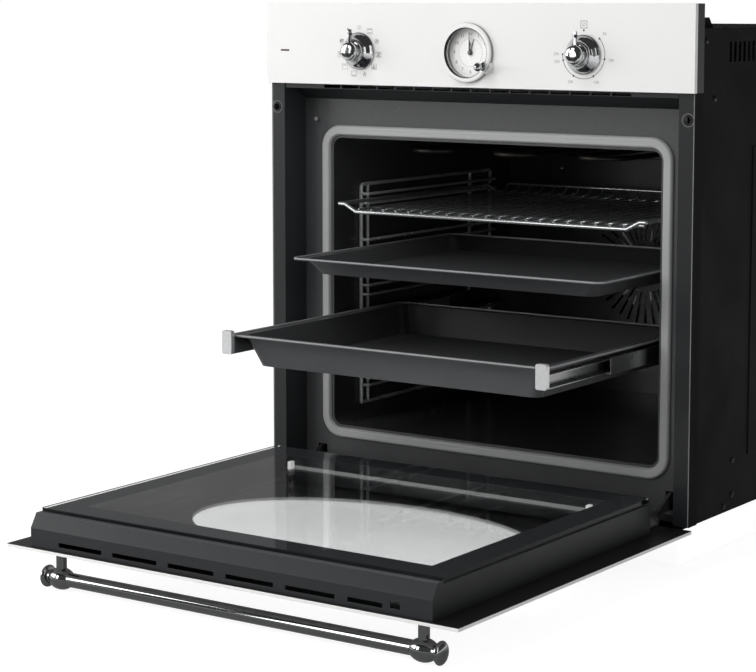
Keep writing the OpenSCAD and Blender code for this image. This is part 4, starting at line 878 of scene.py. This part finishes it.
def grow(name, mesh, kind, values, finish, body):
    """Runs one of the trees on a start mesh and keeps the result as a plain mesh on its body."""
    if not TREES:
        TREES.update(screws=screw_tree(), wire=wire_tree(), seal=seal_tree(), dial=dial_tree())
    seed = add_object(name + "_start", mesh)
    made = seed.modifiers.new("Grow", "NODES")
    made.node_group = TREES[kind]
    given = {**values, "Material": finishes()[finish]}
    for item in made.node_group.interface.items_tree:
        if item.item_type == "SOCKET" and item.in_out == "INPUT" and item.name in given:
            made[item.identifier] = given[item.name]
    seed.update_tag()
    bpy.context.view_layer.update()
    graph = bpy.context.evaluated_depsgraph_get()
    result = bpy.data.meshes.new_from_object(seed.evaluated_get(graph), depsgraph=graph)
    result.name = name
    seed.modifiers.clear()
    bpy.data.objects.remove(seed)
    if not result.polygons:
        raise RuntimeError(f"{name} came out empty")
    return place_piece(name, result, body)


# Pieces

class OVEN_OT_finishes(bpy.types.Operator):
    """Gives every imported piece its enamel, metal, glass, rubber or plastic"""
    bl_idname = "oven.finishes"
    bl_label = "Finish the packed pieces"

    def execute(self, context):
        known = finishes()
        for name, piece in NODES.items():
            slots = piece.data.materials
            wanted = OWN_FINISH.get(name) or (slots[0].name if len(slots) else "")
            if wanted not in known:
                raise RuntimeError(f"{name} has no finish called {wanted!r}")
            if not len(slots):
                slots.append(known[wanted])
            for i in range(len(slots)):
                slots[i] = known[wanted]
        return {"FINISHED"}


def draw_symbol(ink, kind, c, s):
    """One cooking symbol: a fan, upper or lower heat, a grill, a lamp or drops, in shares of its width s."""
    w = 0.055 * s
    x0, x1, y0, y1 = c[0] - s / 2, c[0] + s / 2, c[1] - 0.42 * s, c[1] + 0.42 * s
    if "box" in kind:
        ink.lines([(x0, y0), (x1, y0), (x1, y1), (x0, y1), (x0, y0)], w)
    if "fan" in kind:
        for k in range(4):
            angle = 0.4 + k * math.pi / 2
            far = (c[0] + 0.25 * s * math.cos(angle), c[1] + 0.25 * s * math.sin(angle))
            ink.line(c, far, 0.1 * s)
            ink.dot(far, 0.075 * s)
    if "ring" in kind:
        ink.arc(c, 0.4 * s, w)
    for place, y in (("top", y1 - 0.17 * s), ("low", y0 + 0.17 * s)):
        if place in kind:
            ink.line((x0 + 0.16 * s, y), (x1 - 0.16 * s, y), 2 * w)
    if "grill" in kind:
        steps = 6
        ink.lines([(x0 + 0.14 * s + 0.72 * s * i / steps, y1 - (0.12 if i % 2 == 0 else 0.28) * s)
                   for i in range(steps + 1)], w)
    if "lamp" in kind:
        ink.arc(c, 0.2 * s, w)
        for k in range(8):
            across, up = math.cos(k * math.pi / 4), math.sin(k * math.pi / 4)
            ink.line((c[0] + 0.3 * s * across, c[1] + 0.3 * s * up),
                     (c[0] + 0.42 * s * across, c[1] + 0.42 * s * up), w)
    if "drops" in kind:
        for dx, dy in ((-0.25, -0.3), (0, -0.4), (0.25, -0.3)):
            ink.dot((c[0] + dx * s, c[1] + dy * s), 0.06 * s)


SYMBOLS = ["lamp", "box top low", "ring fan", "box fan top low", "box fan low", "fan drops", "box low", "box grill",
           "box grill fan", "fan ring top"]
# Degrees clockwise from the top: the upright dot, and from one mark to the next
FIRST_MARK, MARK_STEP = -33, 360 / 11
DOTS = [(31.6 * MM, FIRST_MARK, 1.15 * MM), (30.5 * MM, -66.5, 0.8 * MM)]
TEMPERATURES = [(48, "50"), (100, "100"), (152, "150"), (208, "200"), (256, "250"), (270, "270")]
SCALE_LINE, SCALE_DOT, NUMBER_GAP, NUMBER_SPREAD = 0.62 * MM, 1.2 * MM, 7.9 * MM, 1.02
# The mark over the scale: a square round a small crossed ring
OFF_MARK_GAP, OFF_MARK_HALF, OFF_MARK_LINE = 6.6 * MM, 4.0 * MM, 0.75 * MM
OFF_RING, OFF_STROKE, FINE_LINE = 1.9 * MM, (1.2 * MM, 1.4 * MM), 0.4 * MM


class OVEN_OT_fascia_print(bpy.types.Operator):
    """Prints the function symbols and the temperature scale on the fascia"""
    bl_idname = "oven.fascia_print"
    bl_label = "Print the fascia"

    def execute(self, context):
        sizes = context.scene.oven_sizes
        height = sizes.print_height
        symbols, dots = Ink(), Ink()
        for k, kind in enumerate(SYMBOLS):
            draw_symbol(symbols, kind, polar(sizes.symbol_ring, FIRST_MARK + MARK_STEP * (k + 1)), sizes.symbol)
        for radius, angle, size in DOTS:
            dots.dot(polar(radius, angle), size)
        left = facing_front(-KNOB_X, DIAL_Z, FASCIA_Y)
        symbols.printed("function_symbols", left, height, "ink_pale")
        dots.printed("function_dots", left, height, "ink")

        r = sizes.scale_ring
        numbers, scale, mark = Ink(), Ink(), (0, r + OFF_MARK_GAP)
        numbers.lines([(x * OFF_MARK_HALF, mark[1] + y * OFF_MARK_HALF)
                       for x, y in ((-1, -1), (1, -1), (1, 1), (-1, 1), (-1, -1))], OFF_MARK_LINE)
        numbers.arc(mark, OFF_RING, FINE_LINE, steps=24)
        across, up = OFF_STROKE
        numbers.line((-across, mark[1] - up), (across, mark[1] + up), FINE_LINE)
        scale.arc((0, 0), r, SCALE_LINE, TEMPERATURES[0][0], TEMPERATURES[-1][0], 90)
        for angle, number in TEMPERATURES:
            x, y = polar(r + NUMBER_GAP, angle)
            numbers.text(number, (x * NUMBER_SPREAD, y), sizes.scale_digit)
            scale.dot(polar(r, angle), SCALE_DOT)
        scale.dot((0, r), SCALE_DOT)
        right = facing_front(KNOB_X, DIAL_Z, FASCIA_Y)
        numbers.printed("temperature_numbers", right, height, "ink_pale")
        scale.printed("temperature_scale", right, height * 1.2, "ink")
        return {"FINISHED"}


NUMERAL_RING = 22.6 * MM
DIAL_RINGS = [(16.6 * MM, 0.3 * MM, 96), (4.2 * MM, 0.2 * MM, 48)]
MINUTE_STROKES = {"Count": 60, "Radius": 26.0 * MM, "Length": 0.9 * MM, "Width": 0.2 * MM}


class OVEN_OT_clock_print(bpy.types.Operator):
    """Prints the hours, the minute strokes and the inner ring on the clock's dial"""
    bl_idname = "oven.clock_print"
    bl_label = "Print the clock's dial"

    def execute(self, context):
        sizes = context.scene.oven_sizes
        height = sizes.print_height
        hours, rings = Ink(), Ink()
        for hour in range(1, 13):
            hours.text(str(hour), polar(NUMERAL_RING, 30 * hour), sizes.clock_digit)
        for radius, width, steps in DIAL_RINGS:
            rings.arc((0, 0), radius, width, steps=steps)
        place = facing_front(0, DIAL_Z, DIAL_Y)
        hours.printed("clock_numerals", place, height, "ink_numeral")
        rings.printed("clock_ring", place, height, "ink_pale")
        values = {**MINUTE_STROKES, "Thickness": height, "Middle": (0.0, DIAL_Y - height / 2, DIAL_Z)}
        grow("clock_strokes", line_mesh("strokes", [[(0, 0, 0)]]), "dial", values, "ink_pale", "oven")
        return {"FINISHED"}


# Profiles in millimetres: (radius, height) of the knob, (distance from its axis, half width) of its pointer
KNOB_SHAPE = [(0, 0), (22.6, 0), (22.6, 1.7), (21.7, 2.3), (20.9, 3.6), (19.6, 5.4), (18.0, 7.2), (16.4, 9.0),
              (15.1, 10.9), (14.4, 12.5), (13.3, 12.8), (13.2, 15.0), (12.3, 15.6), (10.2, 15.9), (9.5, 16.8),
              (9.6, 18.0), (10.5, 18.5), (11.15, 19.6), (11.3, 21.6), (11.05, 23.4), (10.2, 24.9), (8.4, 25.8),
              (5.4, 26.35), (2.4, 26.5), (0, 26.5)]
POINTER_SHAPE = [(8.0, 2.1), (14.0, 1.75), (18.2, 1.35), (19.3, 1.5), (20.2, 2.6), (21.0, 3.15), (21.9, 3.2),
                 (22.7, 2.7), (23.3, 1.5), (23.7, 1.25), (24.2, 1.6), (24.9, 2.05), (25.7, 2.05), (26.4, 1.6),
                 (26.85, 0.8)]
# Millimetres before the knob's foot, and how far the outline is drawn in there, in width and downwards
POINTER_LAYERS = [(17.9, 0.35), (18.25, 0.0), (20.0, 0.0), (20.5, 0.5)]
NARROWING, DROP = 0.3, 0.4
KNOB_ROUND, KNOB_SIDES = 0.35 * MM, 128


class OVEN_OT_knobs(bpy.types.Operator):
    """Turns the two control knobs and forges their pointers"""
    bl_idname = "oven.knobs"
    bl_label = "Make the knobs"

    def execute(self, context):
        half = [(w * MM, r * MM) for r, w in POINTER_SHAPE]
        outline = half + [(-w, r) for w, r in reversed(half)]
        count = len(outline)
        for name, x in (("function", -KNOB_X), ("thermostat", KNOB_X)):
            body, node = f"{name}_control", f"{name}_knob"
            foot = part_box(node)[1].y
            bm = bmesh.new()
            shape = rounded([(r * MM, h * MM) for r, h in KNOB_SHAPE], KNOB_ROUND, 3)
            lathe(bm, shape, (x, foot, DIAL_Z), KNOB_SIDES)
            piece = add_piece(f"{name}_knob_turned", bm, "chrome", body, 50)
            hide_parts(node)

            bm = bmesh.new()
            layers = [[bm.verts.new((x + w * (1 - inset * NARROWING), foot - depth * MM,
                                     DIAL_Z + r - inset * DROP * MM))
                       for w, r in outline] for depth, inset in POINTER_LAYERS]
            for a, b in zip(layers, layers[1:]):
                for i in range(count):
                    bm.faces.new((a[i], a[(i + 1) % count], b[(i + 1) % count], b[i]))
            bm.faces.new(layers[0])
            bm.faces.new(layers[-1])
            add_piece(f"{name}_pointer", bm, "pointer_chrome", body, 50)
        return {"FINISHED"}


# Across the seal and away from the face, in millimetres
SEAL_PROFILE = [(-6.5, 0), (6.5, 0), (6.5, 1.2), (5.8, 3.2), (4.6, 4.6), (3.4, 5.1), (1.2, 4.9), (-1.0, 4.7),
                (-3.0, 5.0), (-4.4, 4.8), (-5.4, 3.6), (-6.1, 1.6), (-6.5, 1.0)]
SEAL_BAND, SEAL_CORNER = 13 * MM, 21.5 * MM


class OVEN_OT_seal(bpy.types.Operator):
    """Sweeps the door's seal round the cavity's mouth"""
    bl_idname = "oven.seal"
    bl_label = "Make the door seal"

    def execute(self, context):
        lo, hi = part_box("door_gasket")
        values = {"Width": hi.x - lo.x - SEAL_BAND, "Height": hi.z - lo.z - SEAL_BAND, "Corner": SEAL_CORNER,
                  "Middle": ((lo.x + hi.x) / 2, hi.y, (lo.z + hi.z) / 2)}
        profile = loop_mesh("seal_profile", [(x * MM, -y * MM, 0) for x, y in reversed(SEAL_PROFILE)])
        piece = grow("door_seal", profile, "seal", values, "gasket_rubber", "oven")
        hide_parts("door_gasket")
        return {"FINISHED"}


FRAME_WIRE, FRAME_INSET, WALL_GAP = 5 * MM, 2.5 * MM, 2.8 * MM
FRAME_BEND, RUNNER_BEND = 5 * MM, 4 * MM
UPRIGHT_FRONT, UPRIGHT_BACK = 14 * MM, 52 * MM
# Millimetres over the frame's lower wire: the first runner, from level to level, and the two of one level
FIRST_RUNNER, LEVEL_PITCH, RUNNER_PAIR, LEVELS = 23, 59, (0, 12), 5


class OVEN_OT_side_wires(bpy.types.Operator):
    """Bends the wires of both side racks"""
    bl_idname = "oven.side_wires"
    bl_label = "Make the side racks"

    def execute(self, context):
        wire = context.scene.oven_sizes.wire
        for side, node in ((1, "side_rack_right"), (-1, "side_rack_left")):
            lo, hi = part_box(node)
            inner = side * (min(abs(lo.x), abs(hi.x)) + wire / 2)
            outer = side * (max(abs(lo.x), abs(hi.x)) - WALL_GAP)
            y0, y1 = lo.y + FRAME_INSET, hi.y - FRAME_INSET
            z0, z1 = lo.z + FRAME_INSET, hi.z - FRAME_INSET
            outline = [(outer, y0, z0), (outer, y1, z0), (outer, y1, z1), (outer, y0, z1), (outer, y0, z0)]
            uprights = [[(outer, y, z0), (outer, y, z1)] for y in (y0 + UPRIGHT_FRONT, y1 - UPRIGHT_BACK)]
            heights = [z0 + (FIRST_RUNNER + LEVEL_PITCH * level + rise) * MM
                       for level in range(LEVELS) for rise in RUNNER_PAIR]
            runners = [[(outer, y0, z), (inner, y0, z), (inner, y1, z), (outer, y1, z)] for z in heights]
            thick = grow(f"{node}_frame", line_mesh("frame", [outline] + uprights), "wire",
                         {"Diameter": FRAME_WIRE, "Bend radius": FRAME_BEND}, "chrome_wire", "oven")
            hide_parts(node)
            grow(f"{node}_runners", line_mesh("runners", runners), "wire",
                 {"Diameter": wire, "Bend radius": RUNNER_BEND}, "chrome_wire", "oven")
        return {"FINISHED"}


TRAY_SHEET, RIM_LIFT, RIM_CORNER = 1.2 * MM, 0.05 * MM, 14 * MM


class OVEN_OT_rims(bpy.types.Operator):
    """Rolls the bead round the rim of both trays"""
    bl_idname = "oven.rims"
    bl_label = "Roll the trays' rims"

    def execute(self, context):
        bead = context.scene.oven_sizes.bead
        r = bead / 2
        for node, body in (("shallow_tray", "shallow"), ("deep_tray", "deep")):
            lo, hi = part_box(node)
            z = hi.z - TRAY_SHEET + r + RIM_LIFT
            ring = [(lo.x + r, lo.y + r, z), (hi.x - r, lo.y + r, z), (hi.x - r, hi.y - r, z), (lo.x + r, hi.y - r, z)]
            # The bead takes the pale painted highlight finish
            grow(f"{node}_bead", loop_mesh("rim", ring), "wire",
                 {"Diameter": bead, "Bend radius": RIM_CORNER - r, "Sides": 16}, "tray_rim", body)
        return {"FINISHED"}


# Screws in millimetres: (y, z) on each side, y on each half of the top, z on each half of the back
SIDE_SCREWS = [(63, 490), (125, 60), (125, 18.5), (104, 8), (498, 30), (498, 250), (498, 540), (300, 556), (300, 20),
               (40, 556)]
TOP_SCREWS, BACK_SCREWS = (110, 300, 505), (20, 290, 552)
TOP_X, BACK_X, TOP_Z = 266 * MM, 265 * MM, 570 * MM
STEP_X, STEP_Y, STEP_RISE, SHEET = 240 * MM, 40 * MM, 12 * MM, 1.2 * MM
TERMINAL_SCREWS, TERMINAL_Z = (-192 * MM, -148 * MM), 484.2 * MM
COVER_X, COVER_Z = 134 * MM, 128 * MM
UP, BACKWARDS, FORWARDS = (0, 0, 1), (0, 1, 0), (0, -1, 0)


class OVEN_OT_screws(bpy.types.Operator):
    """Sets the screws of the casing, the fan cover and the cavity"""
    bl_idname = "oven.screws"
    bl_label = "Set the screws"

    def execute(self, context):
        sizes = context.scene.oven_sizes
        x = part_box("casing_side_right")[1].x - SHEET
        spots = []
        for side in (1, -1):
            spots += [((side * x, y * MM, z * MM), (side, 0, 0)) for y, z in SIDE_SCREWS]
            spots += [((side * TOP_X, y * MM, TOP_Z), UP) for y in TOP_SCREWS]
            spots.append(((side * STEP_X, STEP_Y, TOP_Z + STEP_RISE), UP))
            spots += [((side * BACK_X, CASING_BACK, z * MM), BACKWARDS) for z in BACK_SCREWS]
        spots += [((0, TOP_SCREWS[-1] * MM, TOP_Z), UP), ((0, STEP_Y, TOP_Z + STEP_RISE), UP)]
        spots += [((0, CASING_BACK, z * MM), BACKWARDS) for z in (BACK_SCREWS[0], BACK_SCREWS[-1])]
        spots += [((across, CASING_BACK, TERMINAL_Z), BACKWARDS) for across in TERMINAL_SCREWS]
        grow("casing_screws", point_mesh("casing_points", spots), "screws",
             {"Head": sizes.casing_screw, "Rise": 2.2 * MM, "Recess": 3.8 * MM, "Seed": 5}, "screw_black", "oven")
        lo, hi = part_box("fan_cover")
        middle = (lo.z + hi.z) / 2
        inside = [((a * COVER_X, lo.y, middle + b * COVER_Z), FORWARDS) for a in (-1, 1) for b in (-1, 1)]
        grow("cover_screws", point_mesh("cover_points", inside), "screws",
             {"Head": sizes.cover_screw, "Rise": 2.4 * MM, "Recess": 4.2 * MM, "Seed": 9}, "shaft_steel", "oven")
        return {"FINISHED"}


# The middle pane's distances inside the inner glass's sides and ends, and of its two faces below it
PANE_SIDE, PANE_END, PANE_DEPTHS = 55 * MM, 38 * MM, (16.4 * MM, 12 * MM)
# The glowing strip along the middle pane's back edge, a painted streak of light: how far it reaches behind and above
# the pane, its gap behind the pane, and its drop below it
GLOW_STRIP_DEPTH, EDGE_GAP, EDGE_DROP = 0.8 * MM, 0.02 * MM, 1.2 * MM
CLIP_INWARD, CLIP_HALF, CLIP_ROUND = 3.5 * MM, (2.4 * MM, 4 * MM), 0.4 * MM
CLIP_RISE, CLIP_DROP = 6 * MM, 1 * MM
POST_HALF, POST_GAP = 2 * MM, 0.5 * MM


class OVEN_OT_middle_pane(bpy.types.Operator):
    """Sets the door's middle pane on its four clips and posts, below the inner glass"""
    bl_idname = "oven.middle_pane"
    bl_label = "Set the middle pane"

    def execute(self, context):
        lo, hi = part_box("door_inner_glass")
        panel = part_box("door_outer_panel")[1].z
        x, y0, y1 = hi.x - PANE_SIDE, lo.y + PANE_END, hi.y - PANE_END
        z0, z1 = (lo.z - depth for depth in PANE_DEPTHS)
        glass, edge, clips, posts = bmesh.new(), bmesh.new(), bmesh.new(), bmesh.new()
        block(glass, (-x, y0, z0), (x, y1, z1))
        block(edge, (-x, y1 + EDGE_GAP, z0 - EDGE_DROP), (x, y1 + GLOW_STRIP_DEPTH, z1 + GLOW_STRIP_DEPTH))
        wide, deep = CLIP_HALF
        for side in (-x, x):
            for y in (y0 + CLIP_INWARD, y1 - CLIP_INWARD):
                block(clips, (side - wide, y - deep, z0 - CLIP_DROP), (side + wide, y + deep, z1 + CLIP_RISE),
                      CLIP_ROUND)
                block(posts, (side - POST_HALF, y - POST_HALF, panel),
                      (side + POST_HALF, y + POST_HALF, z0 - POST_GAP))
        add_piece("door_middle_glass", glass, "window_glass", "door", 0)
        # Painted light: a glowing strip along the pane's back edge
        add_piece("door_middle_glass_edge", edge, "pane_edge", "door", 0)
        add_piece("door_middle_glass_clips", clips, "clip_plastic", "door", 30)
        add_piece("door_middle_glass_posts", posts, "black_plastic", "door", 0)
        return {"FINISHED"}


HOLE_X, HOLE_Z, HOLE_GAP, COLLAR_FOOT = 287 * MM, 469 * MM, 0.1 * MM, -0.2 * MM
# The collar in millimetres: (outwards from its hole, forwards), then (inwards from its rim, forwards)
COLLAR_MOUTH, COLLAR_RIM = [(0, 0.7), (0.6, 1.2), (1.2, 1.15)], [(0.7, 0.5), (0, 0.05)]
COLLAR_ROUND = 0.4 * MM
# The pale ring's reach on both sides of the rim, and its height
RING_INWARD, RING_OUTWARD, RING_TOP = 0.1 * MM, 0.6 * MM, 0.35 * MM


class OVEN_OT_collars(bpy.types.Operator):
    """Presses the collars round the two cabinet screw holes"""
    bl_idname = "oven.collars"
    bl_label = "Press the screw hole collars"

    def execute(self, context):
        sizes = context.scene.oven_sizes
        r, hole = sizes.collar / 2, sizes.hole / 2 - HOLE_GAP
        shape = [(hole, COLLAR_FOOT)] + [(hole + out * MM, up * MM) for out, up in COLLAR_MOUTH]
        shape += [(r - back * MM, up * MM) for back, up in COLLAR_RIM] + [(r, COLLAR_FOOT)]
        near, far = r - RING_INWARD, r + RING_OUTWARD
        ring = [(near, COLLAR_FOOT), (near, RING_TOP), (far, RING_TOP), (far, COLLAR_FOOT)]
        for name, profile, finish in (("screw_hole_collars", rounded(shape, COLLAR_ROUND, 3), "black_plastic"),
                                      ("screw_hole_rings", ring, "ring_line")):
            bm = bmesh.new()
            for x in (-HOLE_X, HOLE_X):
                lathe(bm, profile + [profile[0]], (x, FRAME_FRONT, HOLE_Z), 48)
            add_piece(name, bm, finish, "oven", 40)
        return {"FINISHED"}


# Stage

def lamp(name, place, aim, width, height, glow, mirrored=True):
    """A flat light of a given brightness; mirrored sets whether polished surfaces show it."""
    data = bpy.data.lights.new(name, "AREA")
    data.shape, data.size, data.size_y = "RECTANGLE", width, height
    data.energy = glow * math.pi * width * height
    made = add_object(name, data)
    made.location = place
    made.rotation_euler = (Vector(aim) - Vector(place)).to_track_quat("-Z", "Y").to_euler()
    made.visible_glossy = mirrored


def watched(tree, ray):
    """1 for what the eye sees itself, in mirrors or through glass."""
    seen = maths(tree, "MAXIMUM", ray["Is Camera Ray"], ray["Is Glossy Ray"])
    return maths(tree, "MAXIMUM", seen, ray["Is Transmission Ray"])


MIRROR_MIDDLE, MIRROR_NEAR, MIRROR_FAR, MIRROR_SHADE = (0.0, -0.3, 0.0), 0.4, 1.1, 0.72


def stage_material():
    """Pale floor: white to the eye and through glass, with painted shade near the oven as mirrors see it, and a soft
    shadow kept.
    """
    material = bpy.data.materials.new("Stage white")
    material.use_nodes = True
    tree = material.node_tree
    tree.nodes.clear()
    ray = put(tree, "ShaderNodeLightPath").outputs
    soft = put(tree, "ShaderNodeTexNoise", {"Scale": 3.0})
    tone = put(tree, "ShaderNodeMix", {0: soft.outputs["Fac"], 6: (0.78, 0.78, 0.78, 1), 7: (0.82, 0.82, 0.82, 1)},
               data_type="RGBA")
    ground = put(tree, "ShaderNodeBsdfDiffuse", {"Color": tone.outputs[2]})
    place = put(tree, "ShaderNodeNewGeometry").outputs["Position"]
    near = ramp(tree, vector(tree, "DISTANCE", place, MIRROR_MIDDLE), MIRROR_NEAR, MIRROR_FAR, MIRROR_SHADE, 0.0)
    mirrored = maths(tree, "GREATER_THAN", ray["Is Glossy Ray"], ray["Is Transmission Ray"])
    full = maths(tree, "MULTIPLY_ADD", ray["Is Transmission Ray"], 0.1, 0.9)
    full = maths(tree, "SUBTRACT", full, maths(tree, "MULTIPLY", near, mirrored))
    glow = put(tree, "ShaderNodeEmission", {"Color": WHITE, "Strength": full})
    faint = put(tree, "ShaderNodeBsdfDiffuse", {"Color": (0.3, 0.3, 0.3, 1)})
    bright = put(tree, "ShaderNodeAddShader", {0: glow.outputs[0], 1: faint.outputs[0]})
    both = put(tree, "ShaderNodeMixShader", {0: watched(tree, ray), 1: ground.outputs[0], 2: bright.outputs[0]})
    put(tree, "ShaderNodeOutputMaterial", {"Surface": both.outputs[0]})
    arrange(tree)
    return material


def room(studio):
    """An even room: white to the eye and through glass; in mirrors dim, and paler behind the oven."""
    world = bpy.data.worlds.new("Studio")
    bpy.context.scene.world = world
    world.use_nodes = True
    tree = world.node_tree
    tree.nodes.clear()
    side = vector(tree, "DOT_PRODUCT", coordinate(tree, "Generated"), (-0.57, 0.82, 0.0))
    graded = ramp(tree, side, 0.3, 0.95, studio.dusk, 0.2)
    ray = put(tree, "ShaderNodeLightPath").outputs
    mirror = put(tree, "ShaderNodeMix", {0: ray["Is Glossy Ray"], 2: 1.0, 3: graded})
    power = put(tree, "ShaderNodeMix", {0: watched(tree, ray), 2: studio.sky, 3: mirror.outputs[0]})
    light = put(tree, "ShaderNodeBackground", {"Color": WHITE, "Strength": power.outputs[0]})
    put(tree, "ShaderNodeOutputWorld", {"Surface": light.outputs[0]})
    arrange(tree)


# The frame's width and middle row, the row that the lens points at, and the focal length, in pixels
FRAME_WIDTH, MIDDLE_ROW, LENS_ROW, FOCAL_LENGTH = 756, 336.0, 260.0, 2246.765
SENSOR = 36.0
CAMERA_PLACE, CAMERA_DOWN, CAMERA_TURN = (1.43432, -2.26248, 0.60135), 0.11506, 0.61
FLOOR_HALF, FLOOR_FRONT, FLOOR_BACK = 14, -1.35, 14
PLINTH = (-0.27, 0.004), (0.27, 0.524)
PLINTH_TOP, PLINTH_ROUND = -0.5 * MM, 2 * MM


def camera():
    """The camera, to the right of the oven and looking slightly down."""
    data = bpy.data.cameras.new("camera")
    data.sensor_fit, data.sensor_width = "HORIZONTAL", SENSOR
    data.lens = FOCAL_LENGTH * SENSOR / FRAME_WIDTH
    data.shift_y = (LENS_ROW - MIDDLE_ROW) / FRAME_WIDTH
    data.clip_start, data.clip_end = 0.05, 60
    view = add_object("camera", data)
    view.location = CAMERA_PLACE
    view.rotation_euler = (math.pi / 2 - CAMERA_DOWN, 0, CAMERA_TURN)
    return view


class OVEN_OT_stage(bpy.types.Operator):
    """Sets up the pale floor, the lights and the camera"""
    bl_idname = "oven.stage"
    bl_label = "Set up the stage"

    def execute(self, context):
        studio = context.scene.oven_studio
        z = studio.floor_z
        ground, plinth = bpy.data.meshes.new("floor"), bpy.data.meshes.new("plinth")
        ground.from_pydata([(-FLOOR_HALF, FLOOR_FRONT, z), (FLOOR_HALF, FLOOR_FRONT, z), (FLOOR_HALF, FLOOR_BACK, z),
                            (-FLOOR_HALF, FLOOR_BACK, z)], [], [(0, 1, 2, 3)])
        bm = bmesh.new()
        block(bm, (*PLINTH[0], z), (*PLINTH[1], PLINTH_TOP), PLINTH_ROUND)
        bmesh.ops.recalc_face_normals(bm, faces=bm.faces)
        bm.to_mesh(plinth)
        bm.free()
        white = stage_material()
        for mesh in (ground, plinth):
            mesh.materials.append(white)
            add_object(mesh.name, mesh)
        room(studio)
        aim = (0, -0.05, 0.5)
        lamp("left_window", (-2.52, -1.68, 0.98), aim, 1.9, 1.3, studio.windows)
        lamp("front_window", (-1.32, -2.75, 0.98), aim, 0.66, 1.3, studio.windows)
        lamp("right_strip", (2.6, -0.78, 1.0), aim, 0.38, 2.2, studio.strip)
        lamp("top", (-0.5, -2.3, 2.4), (0, -0.1, 0.3), 2.0, 2.0, studio.top / (4 * math.pi), False)
        context.scene.view_settings.view_transform = "Standard"
        context.scene.camera = camera()
        return {"FINISHED"}


class OVEN_PT_panel(bpy.types.Panel):
    """Settings and pieces of the oven"""
    bl_idname = "OVEN_PT_panel"
    bl_label = "Built-in oven"
    bl_space_type = "VIEW_3D"
    bl_region_type = "UI"
    bl_category = "Oven"

    def draw(self, context):
        for title, setting in (("Colours", "oven_finish"), ("Sizes", "oven_sizes"), ("Studio", "oven_studio")):
            group = getattr(context.scene, setting)
            box = self.layout.box()
            box.label(text=title)
            for name in group.__annotations__:
                box.prop(group, name)
        column = self.layout.column(align=True)
        for step in STEPS:
            column.operator(step.bl_idname)


STEPS = (OVEN_OT_finishes, OVEN_OT_fascia_print, OVEN_OT_clock_print, OVEN_OT_knobs, OVEN_OT_seal, OVEN_OT_side_wires,
         OVEN_OT_rims, OVEN_OT_screws, OVEN_OT_middle_pane, OVEN_OT_collars, OVEN_OT_stage)
SETTINGS = {"oven_finish": OvenFinish, "oven_sizes": OvenSizes, "oven_studio": OvenStudio}
CLASSES = (*SETTINGS.values(), *STEPS, OVEN_PT_panel)


def register():
    for one in CLASSES:
        bpy.utils.register_class(one)
    for name, group in SETTINGS.items():
        setattr(bpy.types.Scene, name, PointerProperty(type=group))


def unregister():
    for name in SETTINGS:
        delattr(bpy.types.Scene, name)
    for one in reversed(CLASSES):
        bpy.utils.unregister_class(one)


def main():
    register()
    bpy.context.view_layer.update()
    for step in STEPS:
        group, name = step.bl_idname.split(".")
        done = getattr(getattr(bpy.ops, group), name)()
        if done != {"FINISHED"}:
            raise RuntimeError(f"{step.bl_idname} did not finish")


if __name__ == "__main__":
    main()
